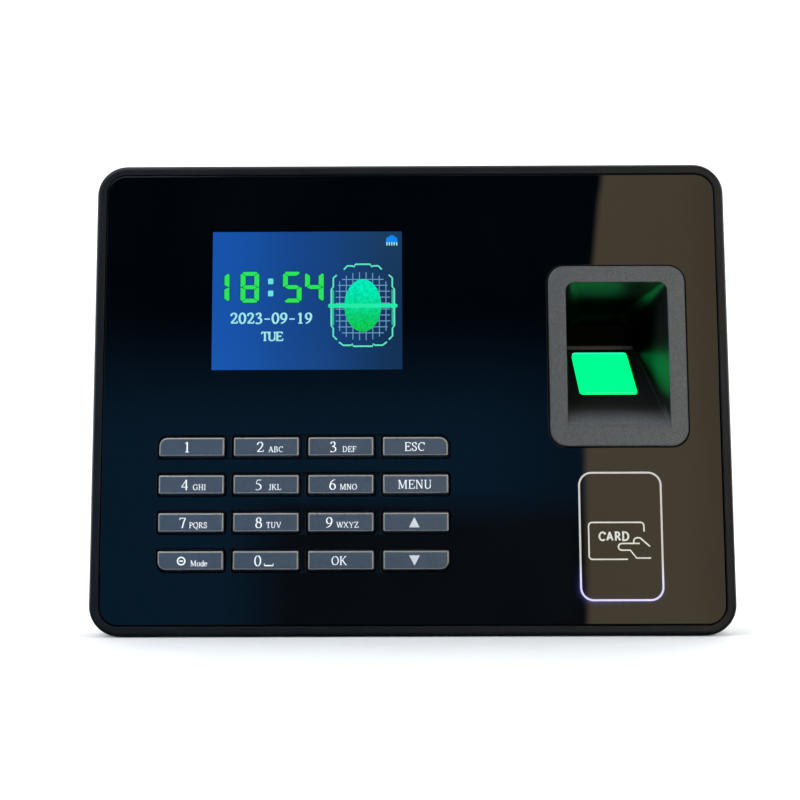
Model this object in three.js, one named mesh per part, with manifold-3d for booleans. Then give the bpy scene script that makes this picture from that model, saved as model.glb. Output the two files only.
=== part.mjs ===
// Fingerprint time-and-access terminal: a wall-hung box with a glossy front lens, a colour display,
// sixteen keys, a finger well with an angled optical window, a card zone, and a sheet-steel wall bracket.
// Units are millimetres. +X is to the right seen from the front, +Z is up, and the front faces -Y.
// Every depth below is measured from the front face of the lens, growing towards the wall.

import * as THREE from 'three';
import { mergeVertices } from 'three/addons/utils/BufferGeometryUtils.js';
import Module from 'manifold-3d';

const wasm = await Module();
wasm.setup();

// ---------------------------------------------------------------- driving dimensions

const WIDTH = 190;
const HEIGHT = 141;
const CORNER = 9.1;
const WALL = 2.2;
const GAP = 0.3;

const KEY_PROUD = 1.0;
const HOUSING_BACK = 13.6;
const PLATE_BACK = 14;
const HUMP_BACK = 31;
const BRACKET_FRONT = 34.2;
const BRACKET_BACK = 35.4;
const SHEET = BRACKET_BACK - BRACKET_FRONT;

const LENS = { z: HEIGHT / 2, w: 183.4, h: 134.4, r: 5.6, back: 1.5 };
const FRONT_WALL = { front: 1.8, back: 3.8 };
const EDGE_ROUND = 2.4;

const LCD = { x: -31.15, z: 99.5, w: 69.2, h: 50 };

const KEYS = {
  names: [
    ['key_1', 'key_2', 'key_3', 'key_esc'],
    ['key_4', 'key_5', 'key_6', 'key_menu'],
    ['key_7', 'key_8', 'key_9', 'key_up'],
    ['key_mode', 'key_0', 'key_ok', 'key_down'],
  ],
  firstX: -65,
  firstZ: 55.4,
  pitchX: 22.05,
  pitchZ: 11.1,
  w: 19.2,
  h: 5.5,
  corner: 2.4,
  smallCorner: 0.4,
  clearance: 0.4,
  flange: 1.0,
  travel: 0.8,
};

const WELL = {
  x: 61.6,
  z: 82.35,
  bezelW: 40.9,
  bezelH: 54.1,
  bezelR: 5,
  proud: 0.8,
  wall: 1.8,
  halfWidth: 15.2,
  top: 104.45,
  lipZ: 59.5,
  lipR: 4,
  deep: 24.6,
  deepHalfWidth: 10.6,
  roofSlope: 0.25,
  roofR: 5,
  floorStart: new THREE.Vector2(1.5, 63.5),
  floorEnd: new THREE.Vector2(25, 88),
};

const GLASS = { x: 61, w: 17.4, length: 20, depth: 16.5, z: 79.1, proud: 0.3, thickness: 3.2 };

const CARD = { x: 61.45, z: 28.85, w: 25.4, h: 38.2 };

const HUMP = { halfWidth: 84.3, top: 139, shoulderX: 9.3, shoulderZ: 12 };

const SCREW_X = 86;
const SCREW_Z = [9.5, 132];

const BRACKET = { w: 110, z0: 33.2, z1: 111.3, corner: 6.5 };
const EAR = { x: 58.4, zs: [35.75, 100.75], h: 5.3, tip: 27.2, lip: 2 };
const FAN_DROP = 65;

const TAB = { x: 7.6, headHalf: 10.9, headBottom: 124, top: 138.7, stemHalf: 4.9, bottom: 114.8, gap: 1.3 };

const RECESS = { x0: 9.1, x1: 22.2, z0: WALL, z1: 64, floor: 20, slotX0: 11.7, slotX1: 18.8, slotZ0: 7.1, slotZ1: 60 };

const BOARD = { x0: -78, x1: 34, z0: 8, z1: 125, front: 12.9, back: 14.5 };
const BOARD_SCREWS = [[-74, 12], [30, 12], [-74, 121], [30, 121]];

// ---------------------------------------------------------------- solids

function toSolid(geometry) {
  const bare = geometry.clone();
  bare.deleteAttribute('normal');
  bare.deleteAttribute('uv');
  const merged = mergeVertices(bare, 1e-4);
  return new wasm.Manifold(new wasm.Mesh({
    numProp: 3,
    vertProperties: new Float32Array(merged.attributes.position.array),
    triVerts: new Uint32Array(merged.index.array),
  }));
}

function toGeometry(solid) {
  const mesh = solid.getMesh();
  const geometry = new THREE.BufferGeometry();
  geometry.setAttribute('position', new THREE.BufferAttribute(new Float32Array(mesh.vertProperties), 3));
  geometry.setIndex(new THREE.BufferAttribute(new Uint32Array(mesh.triVerts), 1));
  return geometry;
}

function joined(...solids) {
  return solids.reduce((sum, solid) => sum.add(solid));
}

function cut(solid, ...tools) {
  return tools.reduce((left, tool) => left.subtract(tool), solid);
}

// A rounded rectangle in the X-Z plane, anticlockwise from the top right corner.
// r is one radius, or [top right, top left, bottom left, bottom right].
function rounded({ x = 0, z = 0, w, h, r, steps = 4 }) {
  const radii = Array.isArray(r) ? r : [r, r, r, r];
  const signs = [[1, 1], [-1, 1], [-1, -1], [1, -1]];
  const points = [];
  signs.forEach(([signX, signZ], corner) => {
    const centreX = x + signX * (w / 2 - radii[corner]);
    const centreZ = z + signZ * (h / 2 - radii[corner]);
    for (let step = 0; step <= steps; step += 1) {
      const angle = (corner + step / steps) * Math.PI / 2;
      const px = centreX + radii[corner] * Math.cos(angle);
      const pz = centreZ + radii[corner] * Math.sin(angle);
      points.push(new THREE.Vector2(px, pz));
    }
  });
  return points;
}

// The housing's own outline, drawn in by an inset.
function bodyOutline(inset, steps = 6) {
  return rounded({
    z: HEIGHT / 2,
    w: WIDTH - 2 * inset,
    h: HEIGHT - 2 * inset,
    r: CORNER - inset,
    steps,
  });
}

// A prism with an X-Z outline, from one depth to another.
function slabGeometry(outline, front, back, holes = []) {
  const shape = new THREE.Shape(outline);
  shape.holes = holes.map((hole) => new THREE.Path(hole));
  const geometry = new THREE.ExtrudeGeometry(shape, { depth: back - front, bevelEnabled: false });
  return geometry.rotateX(Math.PI / 2).translate(0, back, 0);
}

function slab(outline, front, back, holes) {
  return toSolid(slabGeometry(outline, front, back, holes));
}

// A skin through outlines of equal point counts, each at its own depth, with flat ends.
function loft(sections) {
  const count = sections[0].outline.length;
  const positions = sections.flatMap(({ y, outline }) => outline.flatMap((p) => [p.x, y, p.y]));
  const index = [];
  for (let ring = 0; ring + 1 < sections.length; ring += 1) {
    for (let i = 0; i < count; i += 1) {
      const a = ring * count + i;
      const b = ring * count + (i + 1) % count;
      index.push(a, b + count, b, a, a + count, b + count);
    }
  }
  const last = (sections.length - 1) * count;
  THREE.ShapeUtils.triangulateShape(sections[0].outline, []).forEach(([a, b, c]) => index.push(a, b, c));
  THREE.ShapeUtils.triangulateShape(sections.at(-1).outline, [])
    .forEach(([a, b, c]) => index.push(last + a, last + c, last + b));
  const geometry = new THREE.BufferGeometry();
  geometry.setAttribute('position', new THREE.Float32BufferAttribute(positions, 3));
  geometry.setIndex(index);
  return toSolid(geometry);
}

function block(x0, x1, y0, y1, z0, z1) {
  const geometry = new THREE.BoxGeometry(x1 - x0, y1 - y0, z1 - z0);
  return toSolid(geometry.translate((x0 + x1) / 2, (y0 + y1) / 2, (z0 + z1) / 2));
}

// A round bar along the depth axis.
function rod(x, z, radius, y0, y1, sides = 20) {
  const geometry = new THREE.CylinderGeometry(radius, radius, y1 - y0, sides);
  return toSolid(geometry.translate(x, (y0 + y1) / 2, z));
}

// A turned shape about the depth axis; the profile is [radius, depth] from the axis round to the axis.
function turned(x, z, profile, sides = 24) {
  const points = profile.map(([radius, depth]) => new THREE.Vector2(radius, depth));
  return toSolid(new THREE.LatheGeometry(points, sides).translate(x, 0, z));
}

// ---------------------------------------------------------------- materials

function finish(color, roughness, metalness = 0) {
  return new THREE.MeshStandardMaterial({ color, roughness, metalness });
}

const materials = {
  housing: () => finish(0x1a2026, 0.45),
  lens: () => finish(0x05070c, 0.05),
  keycap: () => finish(0x6a7180, 0.4, 0.2),
  well: () => finish(0x55565a, 0.55),
  sensorGlass: () => finish(0x00ff87, 0.1),
  display: () => finish(0x2a56b0, 0.2),
  diffuser: () => finish(0xe8ecf0, 0.5),
  steel: () => finish(0xa8abb0, 0.35, 1),
  silicone: () => finish(0x8c9096, 0.7),
  board: () => finish(0x14603a, 0.5),
  blackPlastic: () => finish(0x202022, 0.55),
  coverPlastic: () => finish(0x28292b, 0.5),
  clearPlastic: () => finish(0xdfe4ee, 0.2),
  greenPlastic: () => finish(0x2f7a4f, 0.5),
  bracketSteel: () => finish(0x1c1d1e, 0.5, 0.3),
  paper: () => finish(0xf0f0ee, 0.7),
};

// ---------------------------------------------------------------- assembly

const terminal = new THREE.Group();
terminal.position.y = -(BRACKET_BACK - KEY_PROUD) / 2;

function add(name, solid, material) {
  const mesh = new THREE.Mesh(toGeometry(solid), material);
  mesh.name = name;
  terminal.add(mesh);
}

// ---------------------------------------------------------------- key layout

// Every key with its place and its four corner radii; only the pad's outer corners are well rounded.
const keyList = KEYS.names.flatMap((row, rowIndex) => row.map((name, column) => {
  const last = KEYS.names.length - 1;
  const isOuter = (outerRow, outerColumn) => rowIndex === outerRow && column === outerColumn;
  const outerCorners = [isOuter(0, last), isOuter(0, 0), isOuter(last, 0), isOuter(last, last)];
  return {
    name,
    x: KEYS.firstX + column * KEYS.pitchX,
    z: KEYS.firstZ - rowIndex * KEYS.pitchZ,
    corners: outerCorners.map((outer) => (outer ? KEYS.corner : KEYS.smallCorner)),
  };
}));

function keyOutline(key, grow) {
  return rounded({
    x: key.x,
    z: key.z,
    w: KEYS.w + 2 * grow,
    h: KEYS.h + 2 * grow,
    r: key.corners.map((radius) => Math.max(radius + grow, 0.2)),
    steps: 2,
  });
}

// ---------------------------------------------------------------- finger well shape

function alongFloor(depth) {
  const { floorStart, floorEnd } = WELL;
  const slope = (floorEnd.y - floorStart.y) / (floorEnd.x - floorStart.x);
  return floorStart.y + (depth - floorStart.x) * slope;
}

// The roof slopes down gently; the cavity's roof also rounds down into its upright back.
function slopingRoof(depth) {
  return WELL.top - WELL.roofSlope * Math.max(depth, 0);
}

function vaultedRoof(depth) {
  const past = Math.max(depth - (WELL.deep - WELL.roofR), 0);
  return slopingRoof(depth) - WELL.roofR + Math.sqrt(WELL.roofR ** 2 - past ** 2);
}

// One X-Z section of the tapering well; grow offsets it outwards for the outside of its shell.
function wellSection(depth, floorZ, roofZ, grow = 0, floorGrow = 0) {
  const share = Math.min(Math.max(depth / WELL.deep, 0), 1);
  const halfWidth = THREE.MathUtils.lerp(WELL.halfWidth, WELL.deepHalfWidth, share) + grow;
  const top = roofZ + grow;
  const bottom = floorZ - floorGrow;
  const topRadius = Math.min(2.7 + 4 * share + grow, 0.45 * (top - bottom));
  const bottomRadius = Math.min(0.6 + grow, 0.45 * (top - bottom));
  return rounded({
    x: WELL.x,
    z: (top + bottom) / 2,
    w: 2 * halfWidth,
    h: top - bottom,
    r: [topRadius, topRadius, bottomRadius, bottomRadius],
  });
}

function wellCavity() {
  const sections = [{ y: -2, outline: wellSection(-WELL.proud, WELL.lipZ, WELL.top) }];
  const lipTurn = THREE.MathUtils.degToRad(46);
  const lipSteps = 3;
  for (let step = 0; step <= lipSteps; step += 1) {
    const angle = lipTurn * step / lipSteps;
    const depth = -WELL.proud + WELL.lipR * (1 - Math.cos(angle));
    const floorZ = WELL.lipZ + WELL.lipR * Math.sin(angle);
    sections.push({ y: depth, outline: wellSection(depth, floorZ, vaultedRoof(depth)) });
  }
  const cornerStart = WELL.deep - WELL.roofR;
  const roofTurns = [0, 30, 50, 70, 90].map((turn) => Math.sin(THREE.MathUtils.degToRad(turn)));
  [8, 14, ...roofTurns.map((share) => cornerStart + WELL.roofR * share)].forEach((depth) => {
    sections.push({ y: depth, outline: wellSection(depth, alongFloor(depth), vaultedRoof(depth)) });
  });
  return loft(sections);
}

function wellShell() {
  const slopeThickness = 2.6;
  const start = 1;
  const depths = [start, 8, 16, WELL.deep];
  const sections = depths.map((depth) => ({
    y: depth,
    outline: wellSection(depth, alongFloor(depth), slopingRoof(depth), WELL.wall, slopeThickness),
  }));
  sections.push({ y: WELL.deep + WELL.wall, outline: sections.at(-1).outline });
  return loft(sections);
}

// A block lying along the well's sloping floor: low and high are heights above the floor's surface.
function floorBlock(width, length, low, high) {
  const direction = WELL.floorEnd.clone().sub(WELL.floorStart);
  const geometry = new THREE.BoxGeometry(width, length, high - low);
  geometry.translate(0, 0, (low + high) / 2);
  geometry.rotateX(direction.angle());
  return toSolid(geometry.translate(GLASS.x, GLASS.depth, GLASS.z));
}

function bezelOutline(inset) {
  return rounded({
    x: WELL.x,
    z: WELL.z,
    w: WELL.bezelW - 2 * inset,
    h: WELL.bezelH - 2 * inset,
    r: WELL.bezelR - inset,
  });
}

// ---------------------------------------------------------------- front housing

function frontHousing() {
  const roundSteps = 3;
  const sections = [];
  for (let step = 0; step <= roundSteps; step += 1) {
    const angle = Math.PI / 2 * step / roundSteps;
    sections.push({
      y: EDGE_ROUND * (1 - Math.cos(angle)),
      outline: bodyOutline(EDGE_ROUND * (1 - Math.sin(angle))),
    });
  }
  sections.push({ y: HOUSING_BACK, outline: bodyOutline(0) });

  const lensPocket = slab(
    rounded({ z: LENS.z, w: LENS.w + 2 * GAP, h: LENS.h + 2 * GAP, r: LENS.r + GAP }),
    -1,
    FRONT_WALL.front,
  );
  const hollow = slab(bodyOutline(WALL), FRONT_WALL.back, HOUSING_BACK + 1);
  const rebate = slab(bodyOutline(WALL / 2), PLATE_BACK - 2.5, HOUSING_BACK + 1);
  const through = (outline) => slab(outline, 1, FRONT_WALL.back + 1);
  const displayCut = through(rounded({ x: LCD.x, z: LCD.z, w: LCD.w + 2.4, h: LCD.h + 2.4, r: 0.5, steps: 1 }));
  const wellCut = through(rounded({ x: WELL.x, z: 82.9, w: 34.6, h: 46.6, r: 4 }));
  const cardCut = through(rounded({ x: CARD.x, z: CARD.z, w: CARD.w + 0.7, h: CARD.h + 0.7, r: 4 }));
  const keyCuts = keyList.map((key) => through(keyOutline(key, KEYS.clearance)));

  const shell = cut(loft(sections), lensPocket, hollow, rebate, displayCut, wellCut, cardCut, ...keyCuts);
  const posts = [];
  const bores = [];
  for (const x of [-SCREW_X, SCREW_X]) {
    for (const z of SCREW_Z) {
      posts.push(rod(x, z, 3.6, FRONT_WALL.back - 0.2, 8.3));
      bores.push(rod(x, z, 1.7, 4.6, 9, 12));
    }
  }
  for (const [x, z] of BOARD_SCREWS) {
    posts.push(rod(x, z, 3, FRONT_WALL.back - 0.2, BOARD.front - GAP, 16));
    bores.push(rod(x, z, 1.1, 7, BOARD.front, 12));
  }
  return cut(joined(shell, ...posts), ...bores);
}

function frontLens() {
  const keyHoles = keyList.map((key) => keyOutline(key, KEYS.clearance));
  const outline = rounded({ z: LENS.z, w: LENS.w, h: LENS.h, r: LENS.r });
  return slab(outline, 0, LENS.back, [...keyHoles, bezelOutline(-GAP)]);
}

// ---------------------------------------------------------------- display

function lcdSlab(grow, front, back) {
  const outline = rounded({ x: LCD.x, z: LCD.z, w: LCD.w + 2 * grow, h: LCD.h + 2 * grow, r: 0.5, steps: 1 });
  return slab(outline, front, back);
}

function lcdFrame() {
  return cut(lcdSlab(0.9, 1.9, 6.2), lcdSlab(0.3, 1, 5.7));
}

// ---------------------------------------------------------------- keypad

function keyCap(key) {
  const bevel = 0.45;
  const flangeFront = FRONT_WALL.back + GAP;
  return loft([
    { y: -KEY_PROUD, outline: keyOutline(key, -bevel) },
    { y: -KEY_PROUD + bevel, outline: keyOutline(key, 0) },
    { y: flangeFront, outline: keyOutline(key, 0) },
    { y: flangeFront + 0.01, outline: keyOutline(key, KEYS.flange) },
    { y: flangeFront + 0.8, outline: keyOutline(key, KEYS.flange) },
  ]);
}

const PAD = { x0: -77, x1: 12.7, z0: 15.8, z1: 61.8 };

function keypadMat() {
  const sheet = block(PAD.x0, PAD.x1, 6.6, 7.6, PAD.z0, PAD.z1);
  const domes = keyList.map((key) => {
    const foot = { x: key.x, z: key.z, w: 9, h: 4, r: 1.9, steps: 2 };
    return loft([
      { y: 6, outline: rounded({ ...foot, w: 7, h: 2.6, r: 1.2 }) },
      { y: 6.8, outline: rounded(foot) },
    ]);
  });
  return joined(sheet, ...domes);
}

function keypadBoard() {
  return block(PAD.x0, PAD.x1, 7.9, 9.5, PAD.z0, PAD.z1);
}

// ---------------------------------------------------------------- fingerprint sensor

function fingerWell() {
  const bezel = loft([
    { y: -WELL.proud, outline: bezelOutline(0.5) },
    { y: -WELL.proud + 0.35, outline: bezelOutline(0) },
    { y: LENS.back - 0.1, outline: bezelOutline(0) },
  ]);
  const windowCut = floorBlock(GLASS.w + 0.6, GLASS.length + 0.6, -5, 2);
  return cut(joined(bezel, wellShell()), wellCavity(), windowCut);
}

function sensorGlass() {
  return floorBlock(GLASS.w, GLASS.length, GLASS.proud - GLASS.thickness, GLASS.proud);
}

// A tube of light-tight walls from the window down to the camera board, with a sloping top.
function sensorHousing() {
  const body = block(50.2, 71.8, 10.9, 27.6, 58, 84.2);
  const lightPath = block(52, 70, 12.6, 26, 50, 90);
  const aboveSlope = floorBlock(40, 60, -3.2, 30);
  return cut(body, lightPath, aboveSlope);
}

function sensorBoard() {
  return block(50.2, 71.8, 10.9, 27.6, 56.1, 57.7);
}

function sensorCamera() {
  const profile = [[0, 0], [4, 0], [4, 2.5], [3, 2.5], [3, 6], [0, 6]];
  const points = profile.map(([radius, height]) => new THREE.Vector2(radius, height));
  const geometry = new THREE.LatheGeometry(points, 20).rotateX(Math.PI / 2);
  return toSolid(geometry.translate(GLASS.x, 19.6, 58));
}

function sensorLedStrip() {
  return block(54, 68, 13, 14.6, 58, 62);
}

// ---------------------------------------------------------------- card reader

function cardLightGuide() {
  const outer = rounded({ x: CARD.x, z: CARD.z, w: CARD.w, h: CARD.h, r: 3.7 });
  const inner = rounded({ x: CARD.x, z: CARD.z, w: CARD.w - 5, h: CARD.h - 5, r: 2 });
  return slab(outer, FRONT_WALL.front, FRONT_WALL.back - 0.2, [inner]);
}

function cardAntenna() {
  return block(48.5, 74.5, 4.1, 5.3, 9.8, 48);
}

// ---------------------------------------------------------------- main board and what stands on it

function mainBoard() {
  const outline = rounded({
    x: (BOARD.x0 + BOARD.x1) / 2,
    z: (BOARD.z0 + BOARD.z1) / 2,
    w: BOARD.x1 - BOARD.x0,
    h: BOARD.z1 - BOARD.z0,
    r: 1.5,
    steps: 1,
  });
  const holes = BOARD_SCREWS.map(([x, z]) => rod(x, z, 1.4, BOARD.front - 1, BOARD.back + 1, 12));
  return cut(slab(outline, BOARD.front, BOARD.back), ...holes);
}

function boardScrew(x, z) {
  const headFront = BOARD.back + GAP;
  return joined(rod(x, z, 0.8, 8, headFront + 0.5, 12), rod(x, z, 2.4, headFront, headFront + 1.5, 12));
}

function clockBattery() {
  return rod(-55, 100, 10, BOARD.back + GAP, BOARD.back + 3.5, 24);
}

function terminalHeader() {
  return block(RECESS.slotX0 + 0.7, RECESS.slotX1 - 0.7, BOARD.back + GAP, 21.4, 8.4, 57.6);
}

function speaker() {
  return turned(38.5, 28.5, [
    [0, 19.5], [7, 19.5], [7, 23], [12, 25.5], [13.8, 25.5], [13.8, 28.4], [12.3, 28.4], [12, 27.6], [0, 27],
  ]);
}

// ---------------------------------------------------------------- rear cover

// The hump's outside, or its inside when drawn in by the wall thickness, with elliptical shoulders.
function hump(inset, start) {
  const steps = 6;
  const sections = [];
  for (let step = 0; step <= steps; step += 1) {
    const angle = Math.PI / 2 * step / steps;
    const halfWidth = HUMP.halfWidth - HUMP.shoulderX * (1 - Math.cos(angle)) - inset;
    const top = HUMP.top - HUMP.shoulderZ * (1 - Math.cos(angle)) - inset;
    const outline = rounded({
      z: (top + inset) / 2,
      w: 2 * halfWidth,
      h: top - inset,
      r: [4 + step, 4 + step, 1, 1],
      steps: 3,
    });
    if (step === 0) sections.push({ y: start, outline });
    sections.push({ y: PLATE_BACK + (HUMP_BACK - inset - PLATE_BACK) * Math.sin(angle), outline });
  }
  return loft(sections);
}

function tabOutline(gap) {
  const { x, headHalf, headBottom, stemHalf, bottom } = TAB;
  const top = gap > 0 ? TAB.top + 0.6 : TAB.top;
  const end = gap > 0 ? 110 : bottom;
  return [
    [x + headHalf + gap, top],
    [x - headHalf - gap, top],
    [x - headHalf - gap, headBottom - gap],
    [x - stemHalf - gap, headBottom - gap],
    [x - stemHalf - gap, end],
    [x + stemHalf + gap, end],
    [x + stemHalf + gap, headBottom - gap],
    [x + headHalf + gap, headBottom - gap],
  ].map(([px, pz]) => new THREE.Vector2(px, pz));
}

// A slot that widens downwards, so that a hooked ear enters at the bottom and locks at the narrow top.
function fanOutline(x, drop) {
  const top = 104.2 - drop;
  const shoulder = 91.5 - drop;
  const sag = 2.2;
  const halfBottom = 4.6;
  const points = [new THREE.Vector2(x + 1.3, top), new THREE.Vector2(x - 1.3, top)];
  const arcSteps = 6;
  for (let step = 0; step <= arcSteps; step += 1) {
    const share = -1 + 2 * step / arcSteps;
    points.push(new THREE.Vector2(x + halfBottom * share, shoulder - sag * (1 - share * share)));
  }
  return points;
}

function rearCover() {
  const plate = slab(bodyOutline(1.4), PLATE_BACK - WALL, PLATE_BACK);
  const inner = hump(WALL, PLATE_BACK - WALL - 1);
  const recessWall = 1.8;
  const recessBox = block(
    RECESS.x0 - recessWall,
    RECESS.x1 + recessWall,
    RECESS.floor - recessWall,
    HUMP_BACK - 1,
    1,
    RECESS.z1 + recessWall,
  );
  const recessCut = block(RECESS.x0, RECESS.x1, RECESS.floor, HUMP_BACK + 1, RECESS.z0, RECESS.z1);
  const slotCut = block(RECESS.slotX0, RECESS.slotX1, 15, HUMP_BACK, RECESS.slotZ0, RECESS.slotZ1);

  const bosses = [];
  const screwCuts = [];
  const ribs = [];
  const fans = [];
  for (const side of [-1, 1]) {
    for (const z of SCREW_Z) {
      bosses.push(rod(side * SCREW_X, z, 4.8, 8.6, PLATE_BACK - 1));
      screwCuts.push(rod(side * SCREW_X, z, 3.3, 10.2, HUMP_BACK));
      screwCuts.push(rod(side * SCREW_X, z, 1.8, 8, 11, 12));
    }
    for (const drop of [0, FAN_DROP]) {
      const rib = rounded({ x: side * 58.5, z: 109.3 - drop, w: 4.5, h: 9.1, r: [2.2, 2.2, 0.4, 0.4], steps: 3 });
      ribs.push(slab(rib, HUMP_BACK - 0.5, HUMP_BACK + 0.8));
      fans.push(slab(fanOutline(side * 58.5, drop), HUMP_BACK - 6, HUMP_BACK + 1));
    }
  }
  const tabCut = slab(tabOutline(TAB.gap), PLATE_BACK + 0.1, HUMP_BACK + 1);
  const shell = cut(joined(plate, hump(0, HOUSING_BACK + GAP)), inner);
  const withBosses = joined(shell, ...bosses, ...ribs, recessBox);
  return cut(withBosses, recessCut, slotCut, tabCut, ...screwCuts, ...fans);
}

function releaseTab() {
  const skin = cut(hump(0, PLATE_BACK), hump(WALL, PLATE_BACK - 1));
  return skin.intersect(slab(tabOutline(0), PLATE_BACK + 0.4, HUMP_BACK + 1));
}

function coverScrew(x, z) {
  const profile = [[0, 4.9], [1.4, 4.9], [1.4, 10.5], [2.7, 10.5], [2.7, 11.6], [1.6, 12.4], [0, 12.4]];
  return turned(x, z, profile, 16);
}

// ---------------------------------------------------------------- wall bracket

function wallBracket() {
  const { w, z0, z1, corner } = BRACKET;
  const outline = rounded({ z: (z0 + z1) / 2, w, h: z1 - z0, r: [corner, corner, 0.4, 0.4] });
  const parts = [slab(outline, BRACKET_FRONT, BRACKET_BACK)];
  const holes = [];
  for (const side of [-1, 1]) {
    for (const z of EAR.zs) {
      const near = side * (w / 2 - 1);
      const outer = side * (EAR.x + SHEET / 2);
      const inner = side * (EAR.x - SHEET / 2);
      const lip = side * (EAR.x + SHEET / 2 + EAR.lip);
      const span = (a, b) => [Math.min(a, b), Math.max(a, b)];
      parts.push(block(...span(near, outer), BRACKET_FRONT, BRACKET_BACK, z - EAR.h / 2, z + EAR.h / 2));
      parts.push(block(...span(inner, outer), EAR.tip, BRACKET_BACK, z - EAR.h / 2, z + EAR.h / 2));
      parts.push(block(...span(inner, lip), EAR.tip, EAR.tip + SHEET, z - EAR.h / 2, z + EAR.h / 2));
    }
    const bead = { x: side * 45.7, z: 67.85 };
    const under = { ...bead, w: 6.4, h: 60.2, r: 3.1 };
    parts.push(loft([
      { y: BRACKET_FRONT - 1.6, outline: rounded(under) },
      { y: BRACKET_FRONT + 0.1, outline: rounded({ ...bead, w: 9, h: 62.8, r: 4.4 }) },
    ]));
    holes.push(loft([
      { y: BRACKET_BACK - 1.6, outline: rounded({ ...bead, w: 4.8, h: 58.6, r: 2.3 }) },
      { y: BRACKET_BACK, outline: rounded({ ...bead, w: 8.4, h: 62.2, r: 4.1 }) },
      { y: BRACKET_BACK + 1, outline: rounded({ ...bead, w: 8.4, h: 62.2, r: 4.1 }) },
    ]));
    const through = (hole) => slab(rounded(hole), BRACKET_FRONT - 1, BRACKET_BACK + 1);
    holes.push(through({ x: side * 34.4, z: 100, w: 10.4, h: 5.1, r: 2.5 }));
    holes.push(through({ x: side * 34.1, z: 44.9, w: 5.1, h: 10.2, r: 2.5 }));
    for (const z of [52.5, 92.5]) {
      holes.push(rod(side * 25, z, 2.1, BRACKET_FRONT - 1, BRACKET_BACK + 1, 16));
    }
  }
  const tongueX0 = TAB.x - TAB.stemHalf;
  const tongueX1 = TAB.x + TAB.stemHalf;
  parts.push(block(tongueX0, tongueX1, BRACKET_FRONT, BRACKET_BACK, z1 - 1, z1 + 2.5));
  parts.push(block(tongueX0, tongueX1, HUMP_BACK + GAP, BRACKET_BACK, z1 + 2.5 - SHEET, z1 + 2.5));
  return cut(joined(...parts), ...holes);
}

function rearLabel() {
  const outline = rounded({ x: -30, z: 32, w: 30, h: 12.8, r: 1, steps: 2 });
  return slab(outline, HUMP_BACK + 0.1, HUMP_BACK + 0.25);
}

// ---------------------------------------------------------------- build

add('front_housing', frontHousing(), materials.housing());
add('front_lens', frontLens(), materials.lens());
add('lcd_panel', lcdSlab(0, 1.8, 3.2), materials.display());
add('lcd_backlight', lcdSlab(0, 3.5, 5.4), materials.diffuser());
add('lcd_frame', lcdFrame(), materials.steel());
for (const key of keyList) {
  add(key.name, keyCap(key), materials.keycap());
}
add('keypad_mat', keypadMat(), materials.silicone());
add('keypad_board', keypadBoard(), materials.board());
add('finger_well', fingerWell(), materials.well());
add('sensor_glass', sensorGlass(), materials.sensorGlass());
add('sensor_housing', sensorHousing(), materials.blackPlastic());
add('sensor_board', sensorBoard(), materials.board());
add('sensor_camera', sensorCamera(), materials.blackPlastic());
add('sensor_led_strip', sensorLedStrip(), materials.diffuser());
add('card_light_guide', cardLightGuide(), materials.clearPlastic());
add('card_antenna', cardAntenna(), materials.board());
add('main_board', mainBoard(), materials.board());
add('clock_battery', clockBattery(), materials.steel());
add('terminal_header', terminalHeader(), materials.greenPlastic());
add('speaker', speaker(), materials.blackPlastic());
add('rear_cover', rearCover(), materials.coverPlastic());
add('release_tab', releaseTab(), materials.coverPlastic());
add('wall_bracket', wallBracket(), materials.bracketSteel());
add('rear_label', rearLabel(), materials.paper());
BOARD_SCREWS.forEach(([x, z], i) => {
  add(`board_screw_${i + 1}`, boardScrew(x, z), materials.steel());
});
[-1, 1].forEach((side, i) => SCREW_Z.forEach((z, j) => {
  add(`cover_screw_${2 * i + j + 1}`, coverScrew(side * SCREW_X, z), materials.steel());
}));

export default terminal;
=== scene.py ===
"""Looks of a wall-hung fingerprint terminal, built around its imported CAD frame.

Lengths are millimetres until a mesh is made. X is to the right seen from the front, Z is up, and depth is
measured from the front face of the lens towards the wall.
"""

import math

import bmesh
import bpy
from mathutils import Matrix, Vector
from mathutils.geometry import tessellate_polygon


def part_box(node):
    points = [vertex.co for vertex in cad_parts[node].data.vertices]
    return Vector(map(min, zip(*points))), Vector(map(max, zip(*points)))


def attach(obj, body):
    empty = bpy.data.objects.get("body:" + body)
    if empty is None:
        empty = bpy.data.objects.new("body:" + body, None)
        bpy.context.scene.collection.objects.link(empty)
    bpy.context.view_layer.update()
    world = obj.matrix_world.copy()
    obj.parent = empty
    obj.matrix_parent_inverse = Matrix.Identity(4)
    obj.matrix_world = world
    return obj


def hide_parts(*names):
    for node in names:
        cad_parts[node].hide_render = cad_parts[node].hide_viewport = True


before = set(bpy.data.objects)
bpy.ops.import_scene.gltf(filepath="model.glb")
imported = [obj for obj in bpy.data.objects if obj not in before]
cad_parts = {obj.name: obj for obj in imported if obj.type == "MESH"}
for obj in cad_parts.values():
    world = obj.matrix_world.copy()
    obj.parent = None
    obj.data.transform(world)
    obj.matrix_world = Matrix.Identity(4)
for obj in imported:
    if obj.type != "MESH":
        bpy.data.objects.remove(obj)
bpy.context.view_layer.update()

MM = 0.001
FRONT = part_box("front_lens")[0].y


def span(node):
    """The lowest and highest corners of a CAD node, as (x, depth, z) in millimetres."""
    return [(c.x / MM, (c.y - FRONT) / MM, c.z / MM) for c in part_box(node)]


def measure(node):
    """A CAD node's middle and size seen from the front, then its front and back depths."""
    (x0, front, z0), (x1, back, z1) = span(node)
    return (x0 + x1) / 2, (z0 + z1) / 2, x1 - x0, z1 - z0, front, back


# ---- driving dimensions

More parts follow.
